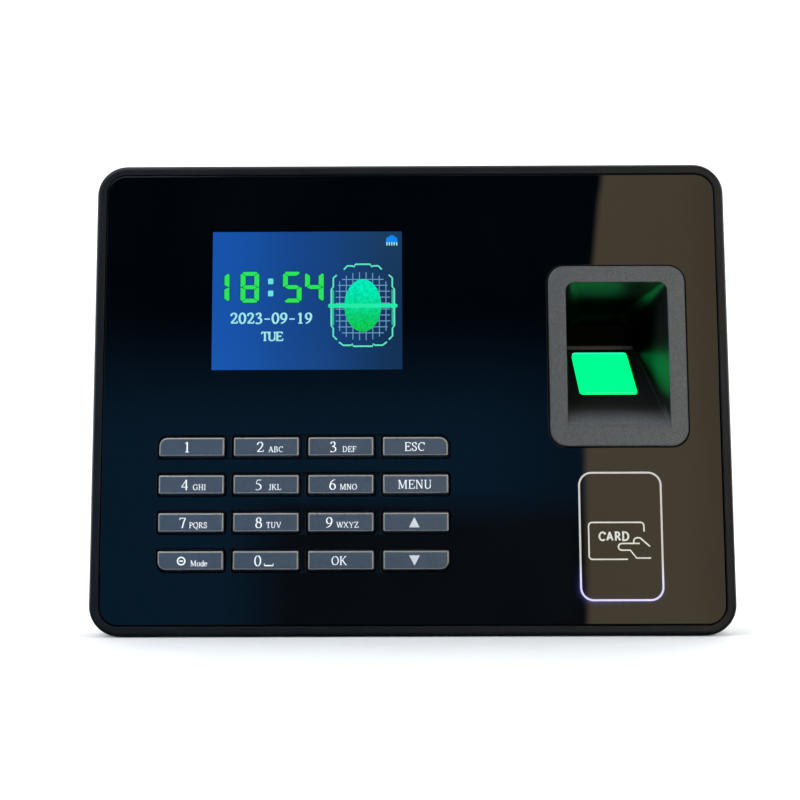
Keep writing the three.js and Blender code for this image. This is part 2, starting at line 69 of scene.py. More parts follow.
_, (HALF_WIDTH, HOUSING_BACK, HEIGHT) = span("front_housing")
WIDTH = 2 * HALF_WIDTH
MIDDLE_Z = HEIGHT / 2
_, _, LENS_W, LENS_H, _, LENS_BACK = measure("front_lens")

CORNER = 9.1
LENS_CORNER = 5.6
WALL = 2.2
GAP = 0.3
EDGE_ROUND = 1.5
FRONT_WALL = (1.8, 3.8)
PLATE_BACK = 14
HUMP_BACK = 31
SHEET = 1.2

KEY_W = 19.2
KEY_H = 5.5
KEY_FLANGE = 1.0
KEY_GAP = 0.4
KEY_CORNER = 0.4
KEY_OUTER_CORNER = 2.4
KEY_NAMES = [
    ["key_1", "key_2", "key_3", "key_esc"],
    ["key_4", "key_5", "key_6", "key_menu"],
    ["key_7", "key_8", "key_9", "key_up"],
    ["key_mode", "key_0", "key_ok", "key_down"],
]

WINDOW = {"x": -31.16, "z": 99.5, "w": 57.18, "h": 42.2}
SCAN_X = -14.4
SCAN_Z = 97.8

WELL_X = 61.6
WELL_DEEP = 24.6
WELL_HALF = (15.2, 10.6)
WELL_TOP = 104.45
WELL_ROOF_SLOPE = 0.25
WELL_ROOF_RADIUS = 5.0
WELL_LIP_Z = 59.5
WELL_LIP_RADIUS = 4.0
WELL_SLOPE_START = (1.5, 63.5)
WELL_SLOPE_END = (25.0, 88.0)
BEZEL = {"z": 82.35, "w": 40.9, "h": 54.1, "r": 5.0}
GLASS = {"x": 61.0, "w": 17.4, "length": 20.0, "depth": 16.5, "z": 79.1, "proud": 0.3, "thickness": 3.2}

CARD = {"x": 61.37, "z": 28.9, "w": 24.6, "h": 37.7, "r": 4.0, "line": 0.55}

HUMP = {"half": 84.3, "top": 139.0, "shoulder_x": 9.3, "shoulder_z": 12.0}
SCREW_X = 86.0
SCREW_ZS = (9.5, 132.0)
RECESS = {"x0": 9.1, "x1": 22.2, "z1": 64.0, "floor": 20.0}
RECESS_SLOT = {"x0": 11.7, "x1": 18.8, "z0": 7.1, "z1": 60.0}
TAB = {"x": 7.6, "head": 10.9, "shoulder": 124.0, "top": 138.7, "stem": 4.9, "bottom": 114.8, "gap": 1.3}
FAN_X = 58.5
FAN_DROPS = (0.0, 65.0)

CAMERA = {"x": -8.3, "away": 303.5, "z": 41.9, "lens": 46.1, "shift": 0.025}
CARDS_AWAY = 433.0

FINE = 20        # steps round a quarter turn where a corner is seen
COARSE = 8
LAYER = 0.0006   # flat strokes that cross stand this much above each other


# ---- outlines and shapes


def quarter(steps):
    """Sine and cosine at even steps of a quarter turn."""
    angles = [math.pi / 2 * step / steps for step in range(steps + 1)]
    return [(math.sin(angle), math.cos(angle)) for angle in angles]


def rounded(x, z, w, h, r, steps=FINE):
    """A rounded rectangle, anticlockwise from its top right; r is one radius or one for each corner."""
    radii = r if isinstance(r, (list, tuple)) else [r] * 4
    points = []
    for corner, (sign_x, sign_z) in enumerate([(1, 1), (-1, 1), (-1, -1), (1, -1)]):
        radius = max(radii[corner], 0.02)
        centre_x = x + sign_x * (w / 2 - radius)
        centre_z = z + sign_z * (h / 2 - radius)
        for step in range(steps + 1):
            angle = (corner + step / steps) * math.pi / 2
            points.append((centre_x + radius * math.cos(angle), centre_z + radius * math.sin(angle)))
    return points


def body_outline(inset, steps=FINE):
    return rounded(0, MIDDLE_Z, WIDTH - 2 * inset, HEIGHT - 2 * inset, CORNER - inset, steps)


def lens_outline(grow):
    return rounded(0, MIDDLE_Z, LENS_W + 2 * grow, LENS_H + 2 * grow, LENS_CORNER + grow)


def arc(x, z, rx, rz, start, end, steps=18):
    """Points along part of an oval, in degrees."""
    turn = math.radians(end - start) / steps
    first = math.radians(start)
    angles = [first + i * turn for i in range(steps + 1)]
    return [(x + rx * math.cos(angle), z + rz * math.sin(angle)) for angle in angles]


def oval(x, z, rx, rz, steps):
    return arc(x, z, rx, rz, 0, 360, steps)[:-1]


def circle(x, z, radius, sides=32):
    return oval(x, z, radius, radius, sides)


def loft(sections):
    """A closed skin through outlines of equal point counts, as (depth, outline)."""
    count = len(sections[0][1])
    points = [(x, depth, z) for depth, outline in sections for x, z in outline]
    faces = []
    for a in range(0, len(points) - count, count):
        for j in range(count):
            k = (j + 1) % count
            faces.append((a + j, a + k, a + count + k, a + count + j))
    faces.append(tuple(range(count)))
    faces.append(tuple(range(len(points) - count, len(points))))
    return points, faces


def stepped(outline_at, *steps):
    """A loft through one outline that is drawn in or out by some amount at each (depth, amount)."""
    return loft([(depth, outline_at(amount)) for depth, amount in steps])


def prism(outline, front, back):
    return loft([(front, outline), (back, outline)])


def block(x0, x1, d0, d1, z0, z1):
    return prism([(x1, z1), (x0, z1), (x0, z0), (x1, z0)], d0, d1)


def cutter(outline_at, front, back, ease=0.3, steps=3):
    """A hole's tool, from the front depth to the back one; it opens out by a small round where it starts."""
    away = 1 if back > front else -1
    round_edge = [(front + away * ease * (1 - cosine), ease * (1 - sine)) for sine, cosine in quarter(steps)]
    return stepped(outline_at, (front - away, ease), *round_edge, (back, 0))


def turned(x, z, profile, sides=40):
    """A turned shape about the depth axis; the profile is (radius, depth) from the axis round to the axis."""
    points = [(x, profile[0][1], z)]
    for radius, depth in profile[1:-1]:
        points += [(px, depth, pz) for px, pz in circle(x, z, radius, sides)]
    points.append((x, profile[-1][1], z))
    faces = []
    rings = len(profile) - 2
    end = 1 + (rings - 1) * sides
    for i in range(sides):
        j = (i + 1) % sides
        faces.append((0, 1 + i, 1 + j))
        for a in range(1, end, sides):
            faces.append((a + i, a + sides + i, a + sides + j, a + j))
        faces.append((len(points) - 1, end + j, end + i))
    return points, faces


# ---- objects


def place(name, data):
    obj = bpy.data.objects.new(name, data)
    bpy.context.scene.collection.objects.link(obj)
    return obj


def build(name, *shapes):
    """One mesh object from closed shapes, in metres in the frame, with its faces pointing out."""
    mesh = bpy.data.meshes.new(name)
    points = []
    faces = []
    for shape_points, shape_faces in shapes:
        start = len(points)
        points += [(x * MM, FRONT + depth * MM, z * MM) for x, depth, z in shape_points]
        faces += [tuple(start + i for i in face) for face in shape_faces]
    mesh.from_pydata(points, [], faces)
    turner = bmesh.new()
    turner.from_mesh(mesh)
    bmesh.ops.recalc_face_normals(turner, faces=turner.faces)
    turner.to_mesh(mesh)
    turner.free()
    return place(name, mesh)


def settle(obj):
    """Applies an object's modifiers to its mesh."""
    depsgraph = bpy.context.evaluated_depsgraph_get()
    made = bpy.data.meshes.new_from_object(obj.evaluated_get(depsgraph), preserve_all_data_layers=True,
                                           depsgraph=depsgraph)
    old = obj.data
    obj.modifiers.clear()
    obj.data = made
    made.name = obj.name
    bpy.data.meshes.remove(old)


def combine(obj, operation, shapes):
    """Joins shapes to an object, cuts them away or keeps what they share, one after the other."""
    tools = [build(f"tool_{i}", shape) for i, shape in enumerate(shapes)]
    for tool in tools:
        step = obj.modifiers.new("combine", "BOOLEAN")
        step.operation = operation
        step.solver = "MANIFOLD"
        step.object = tool
    settle(obj)
    for tool in tools:
        mesh = tool.data
        bpy.data.objects.remove(tool)
        bpy.data.meshes.remove(mesh)


def join(obj, *shapes):
    combine(obj, "UNION", shapes)


def carve(obj, *shapes):
    combine(obj, "DIFFERENCE", shapes)


def soften(obj, bevel=0.0, sharp=32.0):
    """Rounds the hard edges by a bevel and smooths what turns by less than the sharp angle."""
    obj.data.shade_smooth()
    obj.data.set_sharp_from_angle(angle=math.radians(sharp))
    if bevel:
        edge = obj.modifiers.new("edges", "BEVEL")
        edge.width = bevel * MM
        edge.segments = 2
        edge.limit_method = "ANGLE"
        edge.angle_limit = math.radians(sharp)
        edge.miter_outer = "MITER_ARC"
    weighted = obj.modifiers.new("normals", "WEIGHTED_NORMAL")
    weighted.keep_sharp = True
    weighted.weight = 80


def dress(obj, looks, body="terminal", replaces=()):
    """Gives a piece its looks by name, its body and the CAD nodes that it stands for."""
    obj.data.materials.clear()
    for look in looks.split():
        obj.data.materials.append(LOOKS[look])
    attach(obj, body)
    if replaces:
        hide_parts(*replaces)


# ---- material tools


class Look:
    """A material's node tree, with the few steps that all the materials here are made of."""

    def __init__(self, name):
        self.material = bpy.data.materials.new(name)
        self.material.use_nodes = True
        self.tree = self.material.node_tree
        self.shader = self.tree.nodes["Principled BSDF"]
        metres = self.node("TexCoord", {}, "Object")
        self.place = self.node("VectorMath", {0: metres, "Scale": 1 / MM}, operation="SCALE")

    def feed(self, socket, value):
        if isinstance(value, bpy.types.NodeSocket):
            self.tree.links.new(value, socket)
        else:
            socket.default_value = value

    def node(self, kind, inputs, output=0, **settings):
        """Adds a node, sets it, feeds its inputs and gives one of its outputs."""
        node = self.tree.nodes.new(f"ShaderNode{kind}")
        for setting, value in settings.items():
            setattr(node, setting, value)
        for socket, value in inputs.items():
            self.feed(node.inputs[socket], value)
        return node.outputs[output]

    def set(self, **values):
        """Sets the shader's inputs and gives the material."""
        for name, value in values.items():
            self.feed(self.shader.inputs[name.replace("_", " ")], value)
        return self.material

    def stretched(self, x, depth, z):
        return self.node("VectorMath", {0: self.place, 1: (x, depth, z)}, operation="MULTIPLY")

    def noise(self, size, detail, place=None, distortion=0.0):
        """Soft random values about 0.5; size is that of its largest features in millimetres."""
        return self.node("TexNoise", {"Vector": place or self.place, "Scale": 1 / size, "Detail": detail,
                                      "Distortion": distortion}, "Fac")

    def cells(self, size):
        return self.node("TexVoronoi", {"Vector": self.place, "Scale": 1 / size}, "Distance")

    def calc(self, operation, *values, clamp=False):
        return self.node("Math", dict(enumerate(values)), operation=operation, use_clamp=clamp)

    def plus(self, first, second):
        return self.calc("ADD", first, second)

    def minus(self, first, second):
        return self.calc("SUBTRACT", first, second)

    def times(self, first, second, clamp=False):
        return self.calc("MULTIPLY", first, second, clamp=clamp)

    def most(self, first, second):
        return self.calc("MAXIMUM", first, second)

    def between(self, value, low, high, out_low=0.0, out_high=1.0, smooth=True):
        inputs = {"Value": value, "From Min": low, "From Max": high, "To Min": out_low, "To Max": out_high}
        kind = "SMOOTHSTEP" if smooth else "LINEAR"
        return self.node("MapRange", inputs, "Result", interpolation_type=kind)

    def uneven(self, size, detail, low, high, smooth=True):
        """Noise that wanders between two values."""
        return self.between(self.noise(size, detail), 0.3, 0.7, low, high, smooth)

    def mix(self, share, first, second):
        return self.node("Mix", {"Factor": share, 6: rgba(first), 7: rgba(second)}, 2, data_type="RGBA")

    def axes(self):
        split = self.tree.nodes.new("ShaderNodeSeparateXYZ")
        self.feed(split.inputs[0], self.place)
        return split.outputs

    def bump(self, height, distance):
        """Relief of that height in millimetres."""
        relief = self.node("Bump", {"Strength": 1.0, "Distance": distance * MM, "Height": height})
        self.feed(self.shader.inputs["Normal"], relief)

    def flaked(self, flakes, colour, spread):
        """Metallic paint: a colour whose flakes are lighter and darker by the spread."""
        share = self.between(flakes, 0.35, 0.65)
        return self.mix(share, shade(colour, 1 - spread), shade(colour, 1 + spread))

    def haze(self):
        """Where a gloss surface was wiped."""
        return self.between(self.noise(26, 6, self.stretched(1, 1, 0.5), 0.6), 0.42, 0.78)


def rgba(value):
    """A colour given as three linear numbers gets its alpha; a socket stays as it is."""
    if isinstance(value, bpy.types.NodeSocket):
        return value
    return (*value[:3], 1.0)


def srgb(red, green, blue):
    """Linear values of a display colour given as 0 to 255."""
    def linear(channel):
        c = channel / 255
        return c / 12.92 if c <= 0.04045 else ((c + 0.055) / 1.055) ** 2.4
    return (linear(red), linear(green), linear(blue))


def shade(colour, factor):
    return tuple(min(c * factor, 1.0) for c in colour)


# ---- materials

ACRYLIC_IOR = 1.49
MATT = {"Roughness": 0.6, "Specular_IOR_Level": 0.0}


def moulded(name, colour, roughness, grain, relief, mottle=0.12, dust=0.0, **more):
    """Moulded plastic: fine spark-eroded grain, uneven gloss, slight mottling and settled dust."""
    look = Look(name)
    tint = look.mix(look.noise(28, 2), shade(colour, 1 - mottle), shade(colour, 1 + mottle))
    if dust:
        patch = look.between(look.noise(9, 5), 0.5, 0.75)
        spots = look.between(look.cells(0.5), 0.02, 0.16, 1, 0)
        tint = look.mix(look.times(look.times(patch, spots), dust), tint, (0.35, 0.34, 0.33))
    speck = look.times(look.cells(grain * 1.6), 0.5)
    look.bump(look.plus(look.times(look.noise(grain, 4), 0.7), speck), relief)
    gloss = look.uneven(14, 4, roughness - 0.06, roughness + 0.06)
    return look.set(Base_Color=tint, Roughness=gloss, **more)


def steel_look():
    """Zinc-plated steel with fine lines and passivation tints."""
    look = Look("steel")
    lines = look.noise(0.5, 5, look.stretched(0.12, 1, 4))
    look.bump(lines, 0.004)
    tint = look.mix(look.noise(3, 3), (0.52, 0.53, 0.55), (0.66, 0.66, 0.64))
    return look.set(Base_Color=tint, Roughness=look.between(lines, 0.3, 0.7, 0.26, 0.42), Metallic=1.0)


def bracket_look():
    """Black powder coat: soft orange peel, fine sparkle and a few bright rubs."""
    look = Look("bracket_steel")
    peel = look.noise(0.9, 3)
    rub = look.between(look.noise(5, 6, look.stretched(0.3, 1, 1)), 0.68, 0.8, 0, 0.25)
    tint = look.mix(look.noise(22, 2), srgb(24, 24, 24), srgb(31, 31, 31))
    look.bump(look.plus(look.times(peel, 0.8), look.times(look.noise(0.16, 3), 0.35)), 0.03)
    return look.set(Base_Color=look.mix(rub, tint, srgb(66, 66, 68)),
                    Roughness=look.between(peel, 0.3, 0.7, 0.28, 0.42))


def board_look():
    """Solder-masked circuit board with tracks, vias and bare pads."""
    look = Look("circuit_board")
    black = (0, 0, 0, 1)
    grid = look.node("TexBrick", {"Vector": look.place, "Scale": 0.28, "Mortar Size": 0.05, "Row Height": 0.4,
                                  "Color1": black, "Color2": black, "Mortar": (1, 1, 1, 1)}, "Color")
    tracks = look.between(look.plus(grid, look.between(look.noise(4, 2), 0.5, 0.54)), 1.4, 1.6)
    vias = look.between(look.cells(3.4), 0.10, 0.13, 1, 0)
    mask = look.mix(look.noise(12, 3), srgb(5, 26, 15), srgb(8, 34, 20))
    tint = look.mix(look.times(tracks, 0.55), mask, srgb(18, 58, 34))
    look.bump(look.plus(tracks, vias), 0.03)
    return look.set(Base_Color=look.mix(vias, tint, srgb(120, 100, 62)),
                    Roughness=look.uneven(6, 4, 0.28, 0.4))


def clear_look():
    look = Look("clear_plastic")
    look.bump(look.noise(2, 3), 0.01)
    return look.set(Base_Color=look.mix(look.noise(8, 2), srgb(225, 229, 240), srgb(238, 240, 248)),
                    Roughness=look.uneven(5, 4, 0.08, 0.2), Transmission_Weight=0.7, IOR=ACRYLIC_IOR)


def key_look(name, colour, roughness, metal, spread):
    """Satin metallic paint: fine flakes and worn, paler spots."""
    look = Look(name)
    flakes = look.noise(0.22, 2)
    wear = look.between(look.noise(2.2, 6), 0.66, 0.8, 0, 0.25)
    look.bump(flakes, 0.012)
    return look.set(Base_Color=look.mix(wear, look.flaked(flakes, colour, spread), shade(colour, 1.5)),
                    Roughness=look.uneven(3, 5, roughness - 0.05, roughness + 0.05), Metallic=metal)


def well_look():
    """The well's moulding: sparkling grey paint on the bezel and over the lip; inside, satin plastic darkened
    by painted shade, near black and metallic towards the back.
    """
    look = Look("well_plastic")
    flakes = look.noise(0.26, 2)
    paint = look.flaked(flakes, srgb(81, 84, 87), 0.34)
    _, along, height = look.axes()
    depth = look.minus(along, FRONT / MM)
    off_floor = look.between(look.minus(look.minus(height, WELL_SLOPE_START[1]), depth), 0.3, 1.1)
    # Painted shade: the walls and roof from just before the mouth, and the floor over its first 5 mm in, turn
    # from the grey paint to a near-black tone.
    shaded_walls = look.times(look.between(depth, -0.55, -0.2), off_floor)
    inside = look.most(shaded_walls, look.between(depth, 0.0, 5.0))
    bare = look.mix(look.noise(6, 3), srgb(16, 18, 18), srgb(23, 24, 23))
    # Deeper painted shade: from 4 mm to 19 mm in, the walls and roof go black and metallic, so that they take
    # almost no diffuse light.
    far = look.times(look.between(depth, 4.0, 19.0), off_floor)
    dark = look.mix(far, bare, (0.0015, 0.002, 0.0018))
    metal = look.most(look.between(inside, 0, 1, 0.35, 0.0), look.between(far, 0, 0.7))
    look.bump(look.plus(flakes, look.times(look.cells(0.5), 0.6)), 0.03)
    return look.set(Base_Color=look.mix(inside, paint, dark), Metallic=metal,
                    Roughness=look.between(inside, 0, 1, 0.42, 0.30))


def lens_look():
    """Black-backed acrylic: deep gloss with haze, hairlines and dust; the lit card outline bleeds blue."""
    look = Look("lens_gloss")
    haze = look.haze()
    hair = look.between(look.noise(0.35, 3, look.stretched(0.05, 1, 1.4)), 0.70, 0.76)
    spots = look.between(look.cells(2.6), 0.012, 0.03, 1, 0)
    dust = look.times(spots, look.between(look.noise(7, 2), 0.58, 0.62))
    deep = look.mix(haze, (0.0002, 0.0003, 0.0006), (0.0007, 0.0009, 0.0013))
    rough = look.plus(look.between(haze, 0, 1, 0.015, 0.06), look.times(hair, 0.05))
    look.bump(look.plus(look.noise(30, 1), look.times(hair, 0.002)), 0.002)
    return look.set(Base_Color=look.mix(dust, deep, (0.12, 0.13, 0.15)),
                    Roughness=look.plus(rough, look.times(dust, 0.5)), IOR=ACRYLIC_IOR,
                    Emission_Color=look.mix(outline_glow(look), (0, 0, 0), (0.045, 0.04, 0.2)),
                    Emission_Strength=1.0)


def outline_glow(look):
    """A halo round the card outline that fades in towards its lower left."""
    across, _, height = look.axes()

    def over(value, middle, size):
        """How far a point is beyond the straight part of a side."""
        return look.minus(look.calc("ABSOLUTE", look.minus(value, middle)), size / 2 - CARD["r"])

    over_x = over(across, CARD["x"], CARD["w"])
    over_z = over(height, CARD["z"], CARD["h"])
    out_x = look.most(over_x, 0)
    out_z = look.most(over_z, 0)
    beyond = look.calc("SQRT", look.plus(look.times(out_x, out_x), look.times(out_z, out_z)))
    within = look.calc("MINIMUM", look.most(over_x, over_z), 0)
    distance = look.minus(look.plus(beyond, within), CARD["r"])
    halo = look.calc("EXPONENT", look.times(look.calc("ABSOLUTE", distance), -2.2))
    low = look.between(height, CARD["z"] - 6, CARD["z"] - CARD["h"] / 2 - 1, 0, 1)
    left = look.between(across, CARD["x"] + 10, CARD["x"] - 12, 0.35, 1)
    return look.times(look.times(halo, low), left, clamp=True)


def window_look():
    """The clear part of the lens over the display."""
    look = Look("display_window")
    return look.set(Base_Color=look.mix(look.noise(30, 2), (0.97, 0.98, 1.0), (1, 1, 1)),
                    Roughness=look.between(look.haze(), 0, 1, 0.0, 0.012), Transmission_Weight=1.0,
                    IOR=ACRYLIC_IOR)


def lit(name, colour):
    """A lit colour with a slight unevenness."""
    look = Look(name)
    tone = look.mix(look.noise(1.2, 4), shade(colour, 0.9), shade(colour, 1.08))
    return look.set(Base_Color=(0.001, 0.001, 0.001, 1), Emission_Color=tone, Emission_Strength=1.0, **MATT)


def display_look():
    """The lit panel: royal blue at the left, slate blue to the right, with a faint pixel grid."""
    look = Look("display")
    across, _, height = look.axes()
    half_w, half_h = WINDOW["w"] / 2, WINDOW["h"] / 2
    right = look.between(across, WINDOW["x"] - half_w, WINDOW["x"] + half_w, smooth=False)
    up = look.between(height, WINDOW["z"] - half_h, WINDOW["z"] + half_h, smooth=False)
    left_side = look.mix(look.between(right, 0, 0.55), srgb(25, 86, 176), srgb(24, 70, 138))
    slate = look.between(right, 0.45, 1)
    low_row = look.mix(slate, left_side, srgb(17, 44, 78))
    high_row = look.mix(slate, left_side, srgb(28, 62, 96))
    pixel = 0.24
    waves = [look.calc("SINE", look.times(axis, 2 * math.pi / pixel)) for axis in (across, height)]
    grid = look.between(look.plus(*waves), -2, 2, 0.93, 1.07, smooth=False)
    return look.set(Base_Color=(0.0005, 0.0008, 0.0015, 1), Emission_Color=look.mix(up, low_row, high_row),
                    Emission_Strength=grid, **MATT)


def finger_look():
    """The lit fingertip: mottled cyan-green at its top, green at its bottom."""
    look = Look("display_finger_light")
    _, _, height = look.axes()
    tone = look.mix(look.between(height, SCAN_Z - 8, SCAN_Z + 8), srgb(14, 214, 84), srgb(0, 250, 196))
    return look.set(Base_Color=(0.001, 0.002, 0.001, 1), Emission_Color=tone,
                    Emission_Strength=look.uneven(0.9, 4, 0.72, 1.12, smooth=False), **MATT)


def slope_angle():
    (depth_a, z_a), (depth_b, z_b) = WELL_SLOPE_START, WELL_SLOPE_END
    return math.atan2(z_b - z_a, depth_b - depth_a)


def sensor_look():
    """The optical window: an even green glow, with a painted highlight that makes it paler along its upper
    edge.
    """
    look = Look("sensor_window")
    _, _, height = look.axes()
    top = GLASS["z"] + GLASS["length"] / 2 * math.sin(slope_angle())
    # Painted highlight: a paler cyan band along the window's top edge.
    edge = look.between(height, top - 0.9, top + 0.1)
    tone = look.mix(look.times(edge, 0.6), (0.0, 1.0, 0.19), (0.03, 1.0, 0.6))
    return look.set(Base_Color=(0.0, 0.05, 0.02, 1), Emission_Color=tone, Roughness=0.08, Coat_Weight=0.5,
                    Emission_Strength=look.times(look.uneven(0.5, 4, 0.96, 1.04), 1.5))


def card_print_look():
    """The card zone's back-lit line: warm white, turning lavender where the light guide is fed."""
    look = Look("card_outline_print")
    _, _, height = look.axes()
    low = look.between(height, CARD["z"] - 2, CARD["z"] - CARD["h"] / 2 + 2)
    glow = look.times(look.uneven(1.5, 4, 0.85, 1.0), look.between(low, 0, 1, 0.3, 0.8))
    return look.set(Base_Color=(0.3, 0.3, 0.3, 1), Roughness=0.2, Emission_Strength=glow,
                    Emission_Color=look.mix(low, srgb(228, 224, 210), srgb(196, 186, 255)))


def print_look(name, colour, glow=0.0):
    """Screen-printed ink with a slightly rough edge and pinholes."""
    look = Look(name)
    tone = look.mix(look.between(look.noise(0.7, 5), 0.25, 0.75, 0.84, 1.0), shade(colour, 0.6), colour)
    look.bump(look.noise(0.3, 3), 0.006)
    if glow:
        look.set(Emission_Color=tone, Emission_Strength=glow)
    return look.set(Base_Color=tone, Roughness=0.45)


def label_look():
    look = Look("label_paper")
    fibres = look.noise(0.5, 5, look.stretched(1, 1, 2.2))
    look.bump(fibres, 0.01)
    return look.set(Base_Color=look.mix(look.noise(9, 3), srgb(226, 226, 222), srgb(240, 240, 237)),
                    Roughness=look.between(fibres, 0.3, 0.7, 0.5, 0.66))


LOOKS = {
    "housing": moulded("housing_plastic", srgb(15, 19, 24), 0.42, 0.32, 0.012, mottle=0.10, dust=0.2,
                       Specular_IOR_Level=0.28),
    "cover": moulded("cover_plastic", srgb(34, 34, 34), 0.42, 0.42, 0.03, mottle=0.07, dust=0.3),
    "inner": moulded("inner_plastic", srgb(26, 26, 27), 0.5, 0.5, 0.02),
    "silicone": moulded("silicone", srgb(140, 144, 150), 0.62, 0.8, 0.01, mottle=0.05, dust=0.2,
                        Subsurface_Weight=0.1, Subsurface_Radius=(0.002, 0.002, 0.002)),
    "diffuser": moulded("diffuser", srgb(232, 236, 240), 0.5, 0.6, 0.006, mottle=0.02, Subsurface_Weight=0.2),
    "header": moulded("header_plastic", srgb(38, 108, 66), 0.4, 0.4, 0.01, mottle=0.08),
    "steel": steel_look(),
    "bracket": bracket_look(),
    "board": board_look(),
    "clear": clear_look(),
    "key": key_look("keycap", srgb(84, 96, 110), 0.4, 0.55, 0.16),
    # The keys' top and side bevels: paint much paler than the face, partly worn paint and partly a painted
    # highlight.
    "key_edge": key_look("keycap_edge_wear_and_highlight", srgb(158, 156, 150), 0.32, 0.5, 0.05),
    "well": well_look(),
    "lens": lens_look(),
    "window": window_look(),
    "display": display_look(),
    "sensor": sensor_look(),
    "card_line": card_print_look(),
    "legend": print_look("key_legend_ink", srgb(224, 227, 231), 0.14),
    "arrow": print_look("key_arrow_ink", srgb(188, 192, 197), 0.07),
    "card_ink": print_look("card_sign_ink", srgb(205, 201, 190)),
    "label": label_look(),
    "label_ink": print_look("label_ink", srgb(18, 18, 20)),
    "clock": lit("display_clock_light", srgb(48, 236, 98)),
    "colon": lit("display_colon_light", srgb(110, 238, 225)),
    "shadow": lit("display_clock_shadow", srgb(8, 70, 62)),
    "pale": lit("display_text_light", srgb(172, 244, 244)),
    "mint": lit("display_bracket_light", srgb(104, 240, 200)),
    "rail": lit("display_rail_light", srgb(52, 186, 160)),
    "grid": lit("display_grid_light", srgb(112, 166, 206)),
    "finger": finger_look(),
    "scan": lit("display_scan_light", srgb(40, 244, 176)),
    "icon": lit("display_icon_light", srgb(20, 140, 255)),
}


# ---- housing


def key_places():
    """Every key's centre and corner radii; only the pad's four outer corners are well rounded."""
    places = {}
    last = len(KEY_NAMES) - 1
    for row, names in enumerate(KEY_NAMES):
        for column, name in enumerate(names):
            x, z, _, _, front, _ = measure(name)
            outer = [(row, column) == corner for corner in ((0, last), (0, 0), (last, 0), (last, last))]
            corners = [KEY_OUTER_CORNER if o else KEY_CORNER for o in outer]
            places[name] = {"x": x, "z": z, "front": front, "corners": corners}
    return places


KEYS = key_places()


def key_outline(key, grow, steps=6):
    radii = [max(r + grow, 0.1) for r in key["corners"]]
    return rounded(key["x"], key["z"], KEY_W + 2 * grow, KEY_H + 2 * grow, radii, steps)


def bezel_outline(grow):
    width = BEZEL["w"] + 2 * grow
    return rounded(WELL_X, BEZEL["z"], width, BEZEL["h"] + 2 * grow, BEZEL["r"] + grow)


def make_housing():
    edge = [(EDGE_ROUND * (1 - cosine), EDGE_ROUND * (1 - sine)) for sine, cosine in quarter(10)]
    rear = [(HOUSING_BACK - 0.4, 0), (HOUSING_BACK - 0.1, 0.12), (HOUSING_BACK, 0.4)]
    shell = build("housing_shell", stepped(body_outline, *edge, *rear))

    lcd_x, lcd_z, lcd_w, lcd_h, _, _ = measure("lcd_frame")
    wall_front, wall_back = FRONT_WALL
    openings = [rounded(lcd_x, lcd_z, lcd_w + 2 * GAP, lcd_h + 2 * GAP, 0.5, 3),
                rounded(WELL_X, 82.9, 34.6, 46.6, 4, COARSE),
                rounded(CARD["x"], CARD["z"], 26.1, 38.9, 4, COARSE)]
    openings += [key_outline(key, KEY_GAP, 4) for key in KEYS.values()]
    carve(shell,
          cutter(lambda grow: lens_outline(GAP + grow), 0, wall_front, 0.35, 4),
          prism(body_outline(WALL, COARSE), wall_back, HOUSING_BACK + 1),
          prism(body_outline(WALL / 2, COARSE), PLATE_BACK - 2.5, HOUSING_BACK + 1),
          *[prism(outline, wall_front - 0.8, wall_back + 1) for outline in openings])

    # Screw posts: middle, radius and back, then the bore's radius, front and back.
    posts = [(x, z, 3.6, 8.3, 1.7, 4.6, 9) for x in (-SCREW_X, SCREW_X) for z in SCREW_ZS]
    posts += [(*measure(f"board_screw_{i + 1}")[:2], 3, 12.6, 1.1, 7, 13) for i in range(4)]
    join(shell, *[prism(circle(x, z, radius), wall_back - 0.2, end) for x, z, radius, end, *_ in posts])
    carve(shell, *[prism(circle(x, z, bore), front, back) for x, z, _, _, bore, front, back in posts])
    soften(shell)
    dress(shell, "housing", replaces=["front_housing"])


def make_lens():
    """One sheet with rounded edges: black-backed all over, but clear over the display."""
    edge = 0.25
    dark_gap = 0.3   # the holes round the keys are this much wider than the solid's
    points = []
    faces = []
    clear = []

    def ring(outline, depth):
        points.extend((x, depth, z) for x, z in outline)
        return list(range(len(points) - len(outline), len(points)))

    def wall(outline_at):
        """The rounded edge and the side of one loop; gives its front and back rings."""
        rings = [ring(outline_at(edge * (1 - sine)), edge * (1 - cosine)) for sine, cosine in quarter(4)]
        rings.append(ring(outline_at(0), LENS_BACK))
        for a, b in zip(rings, rings[1:]):
            for i in range(len(a)):
                j = (i + 1) % len(a)
                faces.append((a[i], a[j], b[j], b[i]))
        return rings[0], rings[-1]

    loops = [wall(lambda inset: lens_outline(-inset)), wall(lambda grow: bezel_outline(GAP + grow))]
    for key in KEYS.values():
        loops.append(wall(lambda grow, key=key: key_outline(key, KEY_GAP + dark_gap + grow)))
    pane = rounded(WINDOW["x"], WINDOW["z"], WINDOW["w"], WINDOW["h"], 0.25, 3)
    loops.append((ring(pane, 0.0), ring(pane, LENS_BACK)))
    for side in (0, 1):
        rings = [loop[side] for loop in loops]
        order = [i for r in rings for i in r]
        polygon = [[Vector((points[i][0], points[i][2], 0)) for i in r] for r in rings]
        for triangle in tessellate_polygon(polygon):
            faces.append(tuple(order[i] for i in triangle))
        clear.append(len(faces))
        faces.append(tuple(rings[-1]))
    lens = build("lens_sheet", (points, faces))
    dress(lens, "lens window", replaces=["front_lens"])
    for index in clear:
        lens.data.polygons[index].material_index = 1
    soften(lens, sharp=50)


# ---- lettering

# Glyphs are drawn with a broad pen in a box one cap height tall. Each is its width, then its parts. A part is
# a kind of stroke and its path.

TOP = 0.97
BASE = 0.03


def line(*numbers):
    """A stroke through points, given as x and z one after the other."""
    return "broad", list(zip(numbers[::2], numbers[1::2]))


def thin(*numbers):
    return "thin", line(*numbers)[1]


